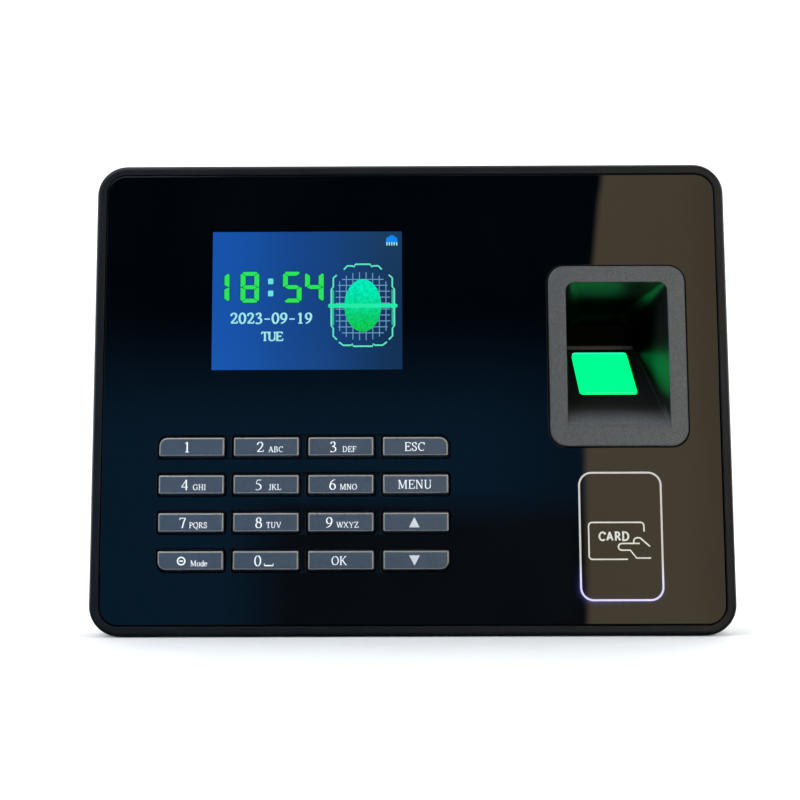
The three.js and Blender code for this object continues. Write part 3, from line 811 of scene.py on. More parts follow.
def curve(*numbers):
    """A Catmull-Rom curve through the points."""
    points = line(*numbers)[1]
    full = [points[0], *points, points[-1]]
    steps = 5
    path = []
    for a, b, c, d in zip(full, full[1:], full[2:], full[3:]):
        for step in range(steps):
            t = step / steps
            path.append(tuple(0.5 * (2 * q + (r - p) * t + (2 * p - 5 * q + 4 * r - s) * t * t
                                     + (3 * q - p - 3 * r + s) * t ** 3) for p, q, r, s in zip(a, b, c, d)))
    return "broad", path + [points[-1]]


def ring_of(x, z, rx, rz):
    return "closed", oval(x, z, rx, rz, 32)


def bow(x, z, rx, rz, start=90, end=-90):
    return "broad", arc(x, z, rx, rz, start, end)


def stem(x, low=0.0, high=1.0):
    return line(x, low, x, high)


def bar(x0, x1, z):
    return line(x0, z, x1, z)


def foot(x, z=BASE, half=0.15):
    return "foot", [(x - half, z), (x + half, z)]


GLYPHS = {
    "A": (1.09, thin(0.15, BASE, 0.53, 1.0), line(0.50, 1.0, 0.90, BASE), bar(0.28, 0.74, 0.34),
          foot(0.15, BASE, 0.13), foot(0.92)),
    "B": (1.0, stem(0.24), bar(0.10, 0.48, TOP), bar(0.24, 0.50, 0.53), bar(0.10, 0.50, BASE),
          bow(0.46, 0.75, 0.26, 0.22), bow(0.48, 0.28, 0.34, 0.25)),
    "C": (1.0, bow(0.55, 0.5, 0.42, 0.47, 48, 312), thin(0.87, 0.70, 0.87, 0.97)),
    "D": (1.09, stem(0.24), bar(0.10, 0.48, TOP), bar(0.10, 0.48, BASE), bow(0.46, 0.5, 0.48, 0.47)),
    "E": (0.92, stem(0.24), bar(0.10, 0.80, TOP), bar(0.24, 0.62, 0.52), bar(0.10, 0.84, BASE),
          thin(0.80, 0.78, 0.80, TOP), thin(0.62, 0.42, 0.62, 0.62), thin(0.86, 0.25, 0.84, BASE)),
    "F": (0.84, stem(0.24), bar(0.10, 0.78, TOP), bar(0.24, 0.60, 0.52), thin(0.78, 0.78, 0.78, TOP),
          thin(0.60, 0.42, 0.60, 0.62), foot(0.24)),
    "G": (1.09, bow(0.55, 0.5, 0.43, 0.47, 48, 318), stem(0.88, 0.12, 0.42), foot(0.88, 0.43, 0.16),
          thin(0.87, 0.70, 0.87, 0.97)),
    "H": (1.09, stem(0.24), stem(0.85), bar(0.24, 0.85, 0.51), foot(0.24), foot(0.24, TOP), foot(0.85),
          foot(0.85, TOP)),
    "I": (0.5, stem(0.25), foot(0.25), foot(0.25, TOP)),
    "J": (0.6, stem(0.36, 0.2, 1.0), curve(0.36, 0.22, 0.33, 0.04, 0.2, -0.03, 0.08, 0.08), foot(0.36, TOP)),
    "K": (1.09, stem(0.24), thin(0.32, 0.46, 0.84, TOP), line(0.44, 0.58, 0.90, BASE), foot(0.24),
          foot(0.24, TOP), foot(0.84, TOP, 0.13), foot(0.93, BASE, 0.14)),
    "L": (0.92, stem(0.24), bar(0.10, 0.84, BASE), thin(0.86, 0.26, 0.84, BASE), foot(0.24, TOP)),
    "M": (1.34, thin(0.24, BASE, 0.24, TOP), line(0.26, 1.0, 0.66, 0.06), thin(0.66, 0.06, 1.06, 1.0),
          stem(1.10), foot(0.24, BASE, 0.13), foot(0.20, TOP, 0.11), foot(1.10), foot(1.14, TOP, 0.12)),
    "N": (1.09, thin(0.22, BASE, 0.22, TOP), line(0.24, 1.0, 0.86, 0.03), thin(0.87, 0.0, 0.87, TOP),
          foot(0.22, BASE, 0.13), foot(0.17, TOP, 0.11), foot(0.87, TOP, 0.13)),
    "O": (1.09, ring_of(0.545, 0.5, 0.43, 0.47)),
    "P": (0.84, stem(0.24), bar(0.10, 0.46, TOP), bar(0.24, 0.46, 0.48), bow(0.44, 0.725, 0.30, 0.245),
          foot(0.24)),
    "Q": (1.09, ring_of(0.545, 0.5, 0.43, 0.47), line(0.52, 0.04, 0.72, -0.14, 0.98, -0.2)),
    "R": (1.0, stem(0.24), bar(0.10, 0.46, TOP), bar(0.24, 0.46, 0.50), bow(0.44, 0.735, 0.28, 0.235),
          line(0.46, 0.50, 0.86, BASE), foot(0.24), foot(0.90, BASE, 0.1)),
    "S": (0.84, curve(0.68, 0.72, 0.60, 0.93, 0.42, 0.98, 0.22, 0.90, 0.18, 0.72, 0.34, 0.57, 0.56, 0.44,
                      0.68, 0.26, 0.58, 0.07, 0.40, 0.02, 0.20, 0.09, 0.13, 0.30)),
    "T": (0.92, stem(0.46), bar(0.08, 0.84, TOP), thin(0.08, 0.76, 0.10, TOP), thin(0.84, 0.76, 0.82, TOP),
          foot(0.46)),
    "U": (1.09, stem(0.24, 0.32, 1.0),
          curve(0.24, 0.34, 0.27, 0.13, 0.42, 0.03, 0.62, 0.03, 0.80, 0.14, 0.85, 0.36),
          thin(0.85, 0.34, 0.85, TOP), foot(0.24, TOP), foot(0.85, TOP, 0.13)),
    "V": (1.09, line(0.16, 1.0, 0.57, 0.0), thin(0.56, 0.0, 0.94, TOP), foot(0.16, TOP),
          foot(0.94, TOP, 0.12)),
    "W": (1.43, line(0.14, 1.0, 0.47, 0.0), thin(0.46, 0.0, 0.76, TOP), line(0.70, 1.0, 1.03, 0.0),
          thin(1.02, 0.0, 1.32, TOP), foot(0.14, TOP, 0.13), foot(0.70, TOP, 0.13), foot(1.32, TOP, 0.1)),
    "X": (1.09, line(0.18, 1.0, 0.90, 0.0), thin(0.17, BASE, 0.87, TOP), foot(0.18, TOP, 0.14),
          foot(0.87, TOP, 0.12), foot(0.17, BASE, 0.12), foot(0.92, BASE, 0.14)),
    "Y": (1.09, line(0.15, 1.0, 0.55, 0.46), thin(0.55, 0.46, 0.92, TOP), stem(0.55, 0, 0.48),
          foot(0.15, TOP, 0.13), foot(0.92, TOP, 0.12), foot(0.55)),
    "Z": (0.92, bar(0.12, 0.82, TOP), line(0.10, 0.04, 0.80, 0.96), bar(0.08, 0.84, BASE),
          thin(0.12, 0.76, 0.13, TOP), thin(0.86, 0.26, 0.84, BASE)),
    "0": (0.76, ring_of(0.38, 0.5, 0.27, 0.48)),
    "1": (0.76, stem(0.40), thin(0.19, 0.84, 0.40, 0.99), foot(0.40, BASE, 0.18)),
    "2": (0.76, curve(0.10, 0.72, 0.18, 0.91, 0.36, 0.98, 0.54, 0.89, 0.58, 0.70, 0.46, 0.46, 0.26, 0.22,
                      0.10, 0.06), bar(0.10, 0.66, 0.06), thin(0.69, 0.24, 0.65, 0.04)),
    "3": (0.76, curve(0.13, 0.80, 0.22, 0.94, 0.36, 0.98, 0.51, 0.90, 0.52, 0.72, 0.40, 0.58, 0.26, 0.53),
          curve(0.28, 0.53, 0.48, 0.49, 0.60, 0.34, 0.57, 0.13, 0.40, 0.02, 0.22, 0.01, 0.09, 0.08)),
    "4": (0.76, stem(0.51), thin(0.06, 0.30, 0.51, 0.98), bar(0.05, 0.69, 0.29)),
    "5": (0.76, bar(0.22, 0.63, 0.95), thin(0.24, 0.95, 0.15, 0.60),
          curve(0.16, 0.60, 0.36, 0.57, 0.54, 0.44, 0.59, 0.24, 0.48, 0.07, 0.30, 0.0, 0.08, 0.05)),
    "6": (0.76, curve(0.62, 0.98, 0.42, 0.90, 0.22, 0.70, 0.13, 0.44, 0.14, 0.26),
          ring_of(0.38, 0.30, 0.25, 0.28)),
    "7": (0.76, bar(0.10, 0.66, 0.95), line(0.65, 0.94, 0.50, 0.60, 0.34, 0.0), thin(0.10, 0.78, 0.12, 0.96)),
    "8": (0.76, ring_of(0.38, 0.75, 0.20, 0.22), ring_of(0.38, 0.27, 0.26, 0.26)),
    "9": (0.76, ring_of(0.38, 0.68, 0.25, 0.29),
          curve(0.62, 0.72, 0.61, 0.50, 0.50, 0.26, 0.32, 0.09, 0.13, 0.01)),
    "-": (0.76, bar(0.12, 0.64, 0.42)),
    "o": (0.76, ring_of(0.38, 0.33, 0.27, 0.31)),
    "d": (0.76, ring_of(0.34, 0.33, 0.24, 0.31), stem(0.60, 0.02, 1.02), foot(0.66, BASE, 0.07)),
    "e": (0.68, bow(0.35, 0.33, 0.26, 0.31, 8, 318), bar(0.12, 0.60, 0.38)),
}


def ribbon(points, half_width_at, front, back, closed=False):
    """A flat printed stroke along points in the X-Z plane; its half width depends on the stroke's normal."""
    count = len(points)
    left = []
    right = []
    for i, (x, z) in enumerate(points):
        ahead = points[(i + 1) % count] if closed or i + 1 < count else points[i]
        behind = points[i - 1] if closed or i > 0 else points[i]
        along = Vector((ahead[0] - behind[0], ahead[1] - behind[1]))
        along.normalize()
        normal = Vector((-along.y, along.x))
        half = half_width_at(normal)
        left.append((x + normal.x * half, z + normal.y * half))
        right.append((x - normal.x * half, z - normal.y * half))
    vertices = [(x, depth, z) for depth in (front, back) for side in (left, right) for x, z in side]
    front_left, front_right, back_left, back_right = (k * count for k in range(4))
    sides = [(front_left, front_right), (back_left, back_right), (front_left, back_left),
             (front_right, back_right)]
    faces = []
    for i in range(count if closed else count - 1):
        j = (i + 1) % count
        faces += [(a + i, a + j, b + j, b + i) for a, b in sides]
    if not closed:
        for i in (0, count - 1):
            faces.append((front_left + i, front_right + i, back_right + i, back_left + i))
    return vertices, faces


def even(half):
    """A pen of one width in every direction."""
    return lambda normal: half


def ribbons(paths, half, front, back, closed=False):
    """Strokes of one width that stand a hair above each other where they cross."""
    return [ribbon(path, even(half), front - LAYER * i, back, closed) for i, path in enumerate(paths)]


def text_width(text, height):
    return sum(GLYPHS[letter][0] * height for letter in text)


def write(text, x, z, height, depth, broad, fine, serifs=True, lift=0.02, advance=None, fit=None):
    """Flat solid strokes that spell text from its left edge and base line, if asked in a given total width.

    Each stroke stands a hair above the last.
    """
    shapes = []
    stretch = fit / text_width(text, height) if fit else 1.0
    slant = 0.22
    axis = (math.cos(slant), math.sin(slant))

    def pen(normal):
        wide = normal.x * axis[0] + normal.y * axis[1]
        narrow = normal.y * axis[0] - normal.x * axis[1]
        return height / 2 * math.hypot(broad * wide, fine * narrow)

    hairline = height * fine
    pens = {"broad": pen, "closed": pen, "thin": even(hairline * 0.55), "foot": even(hairline * 0.5)}
    for letter in text:
        width, *parts = GLYPHS[letter]
        step = advance or width
        start = x + (step - width) / 2 * height * stretch
        for kind, path in parts:
            if kind == "foot" and not serifs:
                continue
            placed = [(start + px * height * stretch, z + pz * height) for px, pz in path]
            top = depth - 0.0004 * (len(shapes) + 1)
            shapes.append(ribbon(placed, pens[kind], top, depth + lift, kind == "closed"))
        x += step * height * stretch
    return shapes


# ---- keys


def make_key(name):
    key = KEYS[name]
    front = key["front"]
    bevel = 0.45
    flange = FRONT_WALL[1] + GAP
    steps = [(front, -1.0), (front + 0.015, -bevel - 0.12)]
    edge = [(front + (0.03 + bevel * (1 - cosine)), -bevel * (1 - sine)) for sine, cosine in quarter(4)]
    rest = [(LENS_BACK, 0), (flange, 0), (flange + 0.01, KEY_FLANGE), (flange + 0.7, KEY_FLANGE),
            (flange + 0.8, KEY_FLANGE - 0.1)]
    cap = build(f"{name}_cap", stepped(lambda grow: key_outline(key, grow), *steps, *edge, *rest))
    dress(cap, "key key_edge", body=name, replaces=[name])
    # Bevels that face up or sideways take the paler edge look, a painted highlight; the downward bevel keeps
    # the key's own colour.
    count = len(key_outline(key, 0))
    for face in cap.data.polygons:
        on_bevel = len(steps) * count <= face.index < (len(steps) + len(edge) - 1) * count
        if on_bevel and face.normal.z > -0.2:
            face.material_index = 1
    soften(cap, sharp=40)


# A digit and where its middle is from the key's, then its letters, where they start and how wide they are.
LEGENDS = {
    "key_1": ("1", -1.37, "", 0, 0),
    "key_2": ("2", -1.73, "ABC", 0.63, 4.4),
    "key_3": ("3", -2.23, "DEF", 0.4, 4.15),
    "key_4": ("4", -1.83, "GHI", 0.47, 3.95),
    "key_5": ("5", -2.13, "JKL", 0.76, 3.75),
    "key_6": ("6", -2.42, "MNO", -0.39, 5.2),
    "key_7": ("7", -2.35, "PQRS", -0.51, 5.45),
    "key_8": ("8", -2.06, "TUV", 0.1, 4.5),
    "key_9": ("9", -3.41, "WXYZ", -1.37, 6.6),
    "key_0": ("0", -2.26, "", 0, 0),
    "key_mode": ("", 0, "Mode", 0.0, 5.05),
}
# A word, where it starts and how wide it is.
WORDS = {"key_esc": ("ESC", -3.38, 6.25), "key_menu": ("MENU", -5.42, 10.25), "key_ok": ("OK", -2.82, 4.67)}
DIGIT_HEIGHT = 3.05
WORD_HEIGHT = 2.55
LETTER_HEIGHT = 1.68


def make_legend(name):
    key = KEYS[name]
    depth = key["front"]
    back = depth + 0.02
    x, z = key["x"], key["z"] - 0.05
    base = z - DIGIT_HEIGHT / 2
    look = "legend"
    shapes = []
    if name in LEGENDS:
        digit, middle, letters, start, width = LEGENDS[name]
        left = x + middle - text_width(digit, DIGIT_HEIGHT) / 2
        shapes += write(digit, left, base, DIGIT_HEIGHT, depth, 0.13, 0.06)
        shapes += write(letters, x + start, base, LETTER_HEIGHT, depth, 0.13, 0.08, fit=width)
    if name in WORDS:
        word, start, width = WORDS[name]
        shapes += write(word, x + start, z - WORD_HEIGHT / 2, WORD_HEIGHT, depth, 0.125, 0.065, fit=width)
    if name == "key_0":
        left, right, low, high = x - 0.3, x + 2.25, base + 0.15, base + 0.75
        tray = [(left, high), (left, low), (right, low), (right, high)]
        shapes.append(ribbon(tray, even(0.17), depth - 0.004, back))
    if name == "key_mode":
        shapes.append(ribbon(circle(x - 2.6, z, 1.08), even(0.2), depth - 0.004, back, closed=True))
        shapes.append(ribbon([(x - 3.15, z), (x - 2.05, z)], even(0.2), depth - 0.0045, back))
    if name in ("key_up", "key_down"):
        look = "arrow"
        half = 1.58
        rise = 1.48 if name == "key_up" else -1.48
        middle = x - 0.5
        triangle = [(middle, z + rise), (middle - half, z - rise), (middle + half, z - rise)]
        shapes.append(prism(triangle, depth - 0.003, back))
    dress(build(f"{name}_legend", *shapes), look, body=name)


# ---- finger well and sensor


def slope_z(depth):
    (depth_a, z_a), (depth_b, z_b) = WELL_SLOPE_START, WELL_SLOPE_END
    return z_a + (depth - depth_a) * (z_b - z_a) / (depth_b - depth_a)


def sloping_roof(depth):
    return WELL_TOP - WELL_ROOF_SLOPE * max(depth, 0)


def vaulted_roof(depth):
    """The cavity's roof slopes down gently, then rounds down into its upright back."""
    past = max(depth - (WELL_DEEP - WELL_ROOF_RADIUS), 0)
    return sloping_roof(depth) - WELL_ROOF_RADIUS + math.sqrt(WELL_ROOF_RADIUS ** 2 - past ** 2)


def well_section(depth, floor, roof, grow=0.0, floor_grow=0.0):
    """The tapering well at one depth; grow offsets its sides and roof outwards."""
    share = min(max(depth / WELL_DEEP, 0), 1)
    half = WELL_HALF[0] + (WELL_HALF[1] - WELL_HALF[0]) * share + grow
    top = roof + grow
    bottom = floor - floor_grow
    room = 0.45 * (top - bottom)
    top_radius = min(2.7 + 4 * share + grow, room)
    bottom_radius = min(0.5 + grow, room)
    radii = [top_radius, top_radius, bottom_radius, bottom_radius]
    return rounded(WELL_X, (top + bottom) / 2, 2 * half, top - bottom, radii, 12)


def well_cavity():
    front = span("finger_well")[0][1]
    ease = 0.3
    turn = math.radians(46)
    steps = 14
    sections = [(front - 1, well_section(front, WELL_LIP_Z, WELL_TOP, ease))]
    for step in range(steps + 1):
        angle = turn * step / steps
        depth = front + WELL_LIP_RADIUS * (1 - math.cos(angle))
        floor = WELL_LIP_Z + WELL_LIP_RADIUS * math.sin(angle)
        reach = min((depth - front) / ease, 1)
        grow = ease * (1 - math.sqrt(1 - (1 - reach) ** 2))
        sections.append((depth, well_section(depth, floor, vaulted_roof(depth), grow, grow)))
    back_depths = [WELL_DEEP - WELL_ROOF_RADIUS * (1 - sine) for sine, _ in quarter(10)]
    for depth in (2.5, 5, 8, 12, 16, *back_depths):
        sections.append((depth, well_section(depth, slope_z(depth), vaulted_roof(depth))))
    return loft(sections)


def slope_plate(grow, low, high, radius, ease=0.0):
    """A rounded plate that lies along the well's floor, between two heights above it, its top edge eased."""
    def outline(inset):
        width = GLASS["w"] + 2 * (grow - inset)
        length = GLASS["length"] + 2 * (grow - inset)
        return rounded(0, 0, width, length, max(radius - inset, 0.1), 8)

    steps = [(low, 0), (high - ease, 0)]
    if ease:
        steps += [(high - ease * 0.3, ease * 0.3), (high, ease)]
    points, faces = stepped(outline, *steps)
    sine, cosine = math.sin(slope_angle()), math.cos(slope_angle())
    placed = [(GLASS["x"] + across, GLASS["depth"] + along * cosine - above * sine,
               GLASS["z"] + along * sine + above * cosine) for across, above, along in points]
    return placed, faces


def make_well():
    _, _, _, _, front, back = measure("finger_well")
    edge = 0.5
    wall = 1.8
    rim = [(front + edge * (1 - cosine), -edge * (1 - sine)) for sine, cosine in quarter(6)]
    skin = [(depth, well_section(depth, slope_z(depth), sloping_roof(depth), wall, 2.6))
            for depth in (1, 8, 16, WELL_DEEP)]
    skin.append((back, skin[-1][1]))
    well = build("finger_well_moulding", stepped(bezel_outline, *rim, (LENS_BACK - 0.1, 0)))
    join(well, loft(skin))
    carve(well, well_cavity(), slope_plate(0.3, -6, 2.5, 1.1), slope_plate(0.65, -0.15, 2.5, 1.4))
    soften(well, sharp=38)
    dress(well, "well", replaces=["finger_well"])


def make_sensor():
    """The optical window; its back faces are dark, so that no light leaks through the grilles."""
    glass = build("sensor_window_block",
                  slope_plate(0, GLASS["proud"] - GLASS["thickness"], GLASS["proud"], 1.0, ease=0.3))
    soften(glass, sharp=50)
    dress(glass, "sensor inner", replaces=["sensor_glass"])
    for face in glass.data.polygons:
        if face.normal.y > 0.5:
            face.material_index = 1


# ---- display picture

PICTURE = span("lcd_panel")[0][1] - 0.05

SEGMENTS = {"1": "bc", "4": "fgbc", "5": "afgcd", "8": "abcdefg"}
DIGIT_W = 5.64
DIGIT_H = 9.45


def show(name, look, *shapes):
    """A lit piece of the display's picture."""
    dress(build(f"display_{name}", *shapes), look)


def mirrored(half):
    """A path over both sides of x 0, from its half on the right."""
    return [(-x, z) for x, z in reversed(half)] + list(half)


def segment_outline(name, grow):
    """One mitred bar of a seven-segment digit from its lower left corner, thicker by grow on every side."""
    gap = 0.1 - grow
    cut = 0.85
    wide, tall, half, thick = 1.5 + grow, 1.25 + grow, DIGIT_H / 2, 0.62 + grow
    if name in "adg":
        left = [(wide + gap, tall), (cut / 2 + gap, cut / 2 - grow / 2), (cut, -grow)]
        if name == "g":
            left = [(wide + gap, half - thick), (0.35 + 2 * gap, half), (wide + gap, half + thick)]
        outline = left + [(DIGIT_W - x, z) for x, z in reversed(left)]
    else:
        outline = [(-grow, half - gap), (-grow, cut), (cut / 2 - grow / 2, cut / 2 + gap), (wide, tall + gap),
                   (wide, half - thick - gap), (0.35, half - gap)]
    if name in "bc":
        outline = [(DIGIT_W - x, z) for x, z in outline]
    if name in "abf":
        outline = [(x, DIGIT_H - z) for x, z in outline]
    return outline


def make_clock():
    base = 98.95
    bars = []
    shadows = []
    for digit, x in (("1", -60.3), ("8", -51.3), ("5", -38.5), ("4", -31.85)):
        for name in SEGMENTS[digit]:
            for shapes, grow, depth in ((bars, 0.0, PICTURE), (shadows, 0.2, PICTURE + 0.03)):
                outline = [(x + px, base + pz) for px, pz in segment_outline(name, grow)]
                shapes.append(prism(outline, depth - 0.0004 * len(shapes), depth + 0.04))
    show("clock", "clock", *bars)
    show("clock_shadow", "shadow", *shadows)
    dots = [rounded(-42.2, z, 1.6, 1.75, 0.35, 3) for z in (105.45, 101.75)]
    show("colon", "colon", *[prism(dot, PICTURE, PICTURE + 0.03) for dot in dots])


def make_date():
    show("date", "pale",
         *write("2023-09-19", -54.4, 92.6, 3.2, PICTURE, 0.2, 0.12, advance=0.778, lift=0.03),
         *write("TUE", -44.9, 87.35, 2.65, PICTURE, 0.22, 0.13, advance=0.81, lift=0.03))


def make_scan_picture():
    """The scanner picture: a grid, a finger oval, four bracket lines, two rails and the scan bar."""
    def at_scan(path):
        return [(SCAN_X + x, SCAN_Z + z) for x, z in path]

    back = PICTURE + 0.03
    lines = []
    for i in range(8):
        x = (i - 3.5) * 1.99
        reach = 10.4 * math.sqrt(1 - (abs(x) / 9.3) ** 2.6)
        lines.append(at_scan([(x, -reach), (x, reach)]))
    for i in range(10):
        z = (i - 4.5) * 1.81
        reach = 8.2 * min(1.0, 1.42 - abs(z) / 12.5)
        lines.append(at_scan([(-reach, z), (reach, z)]))
    show("grid", "grid", *ribbons(lines, 0.13, PICTURE, back))
    show("finger", "finger", prism(oval(SCAN_X, SCAN_Z + 0.2, 5.55, 8.0, 64), PICTURE - 0.03, PICTURE + 0.02))

    top = mirrored([(2.2, 12.8), (2.7, 12.0), (3.1, 12.3), (4.7, 12.3), (5.7, 11.2)])
    bottom = mirrored([(2.9, -12.2), (3.1, -11.5), (3.6, -11.9), (5.9, -11.9), (7.2, -10.9)])
    side = [(7.85, 9.5), (8.9, 8.6), (8.9, 5.9), (9.5, 5.1), (9.5, -5.9), (8.9, -6.7), (8.9, -9.1),
            (7.8, -10.2)]
    brackets = [top, bottom, side, [(-x, z) for x, z in side]]
    rails = [[(x, 5.0), (x, -5.8)] for x in (-9.1, 9.1)]
    show("rails", "rail", *ribbons([at_scan(path) for path in rails], 0.45, PICTURE + 0.01, back))
    show("brackets", "mint", *ribbons([at_scan(path) for path in brackets], 0.24, PICTURE, back))
    bar_outline = rounded(SCAN_X, SCAN_Z + 0.1, 20.9, 1.25, 0.6, 6)
    show("scan_bar", "scan", prism(bar_outline, PICTURE - 0.045, PICTURE + 0.02))


def make_network_icon():
    """A plug seen from the front: a rounded block with a small latch on top and five contacts below."""
    x = -5.6
    plug = prism(rounded(x, 118.05, 3.4, 1.9, [0.7, 0.7, 0.1, 0.1], 4), PICTURE, PICTURE + 0.03)
    latch = prism(rounded(x, 119.1, 1.5, 0.7, 0.1, 2), PICTURE - 0.0005, PICTURE + 0.03)
    show("network_icon", "icon", plug, latch)
    pins = [rounded(x + (i - 2) * 0.74, 116.85, 0.38, 1.0, 0.1, 2) for i in range(5)]
    show("network_pins", "pale", *[prism(pin, PICTURE - 0.01, PICTURE + 0.02) for pin in pins])


# ---- card zone


def make_card_zone():
    """The back-lit outline and the printed sign, as thin inlays level with the lens face."""
    front, back = -0.006, 0.02
    half = CARD["line"] / 2
    track = rounded(CARD["x"], CARD["z"], CARD["w"] - 2 * half, CARD["h"] - 2 * half, CARD["r"] - half, 16)
    outline = build("card_zone_outline", ribbon(track, even(half), front, back, closed=True))
    dress(outline, "card_line")

    left, right, top, bottom, radius = 51.9, 68.15, 32.9, 22.15, 1.0
    card = [(right, 30.2), (right, top - radius)]
    for x, z, turn in ((right - radius, top - radius, 0), (left + radius, top - radius, 90),
                       (left + radius, bottom + radius, 180)):
        card += arc(x, z, radius, radius, turn, turn + 90, 6)
    card += [(63.25, bottom)]
    finger_top, finger_bottom = 26.75, 24.8
    tip = (finger_top - finger_bottom) / 2
    finger = [(66.8, finger_top), *arc(61.5, finger_bottom + tip, tip, tip, 90, 270, 8),
              (64.0, finger_bottom), (65.8, 22.5), (70.0, 22.5)]
    thumb = [(65.05, finger_top + 0.1), (65.05, 27.4), *arc(66.05, 27.4, 1.0, 1.0, 180, 90, 6),
             (66.9, 28.4), (69.8, 25.85)]
    sign = build("card_zone_sign", *ribbons([card, finger, thumb], 0.21, front, back),
                 *write("CARD", 54.75, 27.6, 2.5, front, 0.21, 0.2, serifs=False, fit=9.1))
    dress(sign, "card_ink")


# ---- rear cover and tab


def hump(inset, start, steps=14, corner_steps=10):
    """The raised middle of the cover with elliptical shoulders, drawn in by an inset for its inside."""
    sections = []
    for step, (sine, cosine) in enumerate(quarter(steps)):
        half = HUMP["half"] - HUMP["shoulder_x"] * (1 - cosine) - inset
        top = HUMP["top"] - HUMP["shoulder_z"] * (1 - cosine) - inset
        radius = 4 + 6 * step / steps
        outline = rounded(0, (top + inset) / 2, 2 * half, top - inset, [radius, radius, 1, 1], corner_steps)
        if step == 0:
            sections.append((start, outline))
        depth = PLATE_BACK + (HUMP_BACK - inset - PLATE_BACK) * sine
        if depth > sections[-1][0]:
            sections.append((depth, outline))
    return loft(sections)


def tab_outline(gap, top, end):
    head, shoulder, stem_half = TAB["head"] + gap, TAB["shoulder"] - gap, TAB["stem"] + gap
    half = [(stem_half, end), (stem_half, shoulder), (head, shoulder), (head, top)]
    return [(TAB["x"] + x, z) for x, z in mirrored(half[::-1])][::-1]


def fan_outline(x, drop, grow=0.0):
    """A slot that widens downwards from a narrow top to a sagging arc."""
    top = 104.2 - drop + grow
    shoulder = 91.5 - drop - grow
    half_top = 1.3 + grow
    half_bottom = 4.6 + grow
    sag = 2.2
    steps = 12
    shares = [-1 + 2 * step / steps for step in range(steps + 1)]
    return [(x + half_top, top), (x - half_top, top),
            *[(x + half_bottom * share, shoulder - sag * (1 - share * share)) for share in shares]]


def rect(x0, x1, z0, z1, grow, radius=0.6):
    width = x1 - x0 + 2 * grow
    return rounded((x0 + x1) / 2, (z0 + z1) / 2, width, z1 - z0 + 2 * grow, radius + grow, 4)


# Each grille's middle, the radius of its ring groove and those of its rows of holes.
GRILLES = [(50.4, 69.6, 18.8, (9.5, 13.3, 17.0)), (38.5, 28.5, 14.2, (6.2, 9.2, 12.3))]


def grille_cuts():
    cuts = []
    for x, z, radius, rows in GRILLES:
        groove = circle(x, z, radius, 72)
        cuts.append(ribbon(groove, even(0.22), HUMP_BACK - 0.35, HUMP_BACK + 1, closed=True))
        for reach in rows:
            for spoke in range(8):
                angle = math.radians(22.5 + 45 * spoke)
                hole = circle(x + reach * math.cos(angle), z + reach * math.sin(angle), 0.45, 12)
                cuts.append(prism(hole, HUMP_BACK - 3, HUMP_BACK + 1))
    return cuts


def make_cover():
    cover = build("rear_cover_shell", stepped(body_outline, (PLATE_BACK - WALL, 1.4), (PLATE_BACK - 0.5, 1.4),
                                              (PLATE_BACK - 0.15, 1.55), (PLATE_BACK, 1.9)))
    join(cover, hump(0, HOUSING_BACK + GAP))
    carve(cover, hump(WALL, PLATE_BACK - WALL - 1, 8, 6))
    wall = 1.8
    recess, slot = RECESS, RECESS_SLOT
    added = [block(recess["x0"] - wall, recess["x1"] + wall, recess["floor"] - wall, HUMP_BACK - 1, 1,
                   recess["z1"] + wall)]
    cuts = []
    for side in (-1, 1):
        for z in SCREW_ZS:
            x = side * SCREW_X
            added.append(prism(circle(x, z, 4.8), 8.6, PLATE_BACK - 1))
            cuts.append(cutter(lambda grow, x=x, z=z: circle(x, z, 3.3 + grow), PLATE_BACK, 10.2, 0.35))
            cuts.append(prism(circle(x, z, 3.3), 10.2, HUMP_BACK + 1))
            cuts.append(prism(circle(x, z, 1.8), 8, 11))
        for drop in FAN_DROPS:
            x = side * FAN_X
            rib = []
            for rise, w, foot_radius in ((-0.5, 4.5, 0.4), (0.5, 4.4, 0.4), (0.8, 3.8, 0.2)):
                radii = [w / 2 - 0.05, w / 2 - 0.05, foot_radius, foot_radius]
                rib.append((HUMP_BACK + rise, rounded(x, 109.3 - drop, w, w + 4.6, radii, 8)))
            added.append(loft(rib))
            cuts.append(cutter(lambda grow, x=x, drop=drop: fan_outline(x, drop, grow), HUMP_BACK,
                               HUMP_BACK - 6))
    join(cover, *added)
    cuts.append(cutter(lambda grow: rect(recess["x0"], recess["x1"], WALL, recess["z1"], grow), HUMP_BACK,
                       recess["floor"], 0.5))
    cuts.append(prism(rect(slot["x0"], slot["x1"], slot["z0"], slot["z1"], 0), 15, HUMP_BACK))
    cuts.append(prism(tab_outline(TAB["gap"], TAB["top"] + 0.6, 110), PLATE_BACK + 0.1, HUMP_BACK + 1))
    carve(cover, *cuts, *grille_cuts())
    soften(cover, sharp=30)
    dress(cover, "cover", replaces=["rear_cover"])


def shoulder_depth(z):
    """How deep the cover's upper shoulder is at one height."""
    drawn = (HUMP["top"] - z) / HUMP["shoulder_z"]
    return PLATE_BACK + (HUMP_BACK - PLATE_BACK) * math.sqrt(max(1 - (1 - drawn) ** 2, 0))


def make_tab():
    tab = build("release_tab_spring", hump(0, PLATE_BACK))
    carve(tab, hump(WALL, PLATE_BACK - 1, 8, 6))
    outline = tab_outline(0, TAB["top"], TAB["bottom"])
    combine(tab, "INTERSECT", [prism(outline, PLATE_BACK + 0.4, HUMP_BACK + 1)])
    grip_lines = []
    for z, half in ((134.0, 5.3), (132.95, 7.95), (132.0, 5.3)):
        depth = shoulder_depth(z)
        left, right = TAB["x"] - half, TAB["x"] + half
        grip_lines.append(block(left, right, depth - 0.45, depth + 0.6, z - 0.17, z + 0.17))
    carve(tab, *grip_lines)
    soften(tab, bevel=0.22, sharp=34)
    dress(tab, "cover", body="release_tab", replaces=["release_tab"])


# ---- bracket


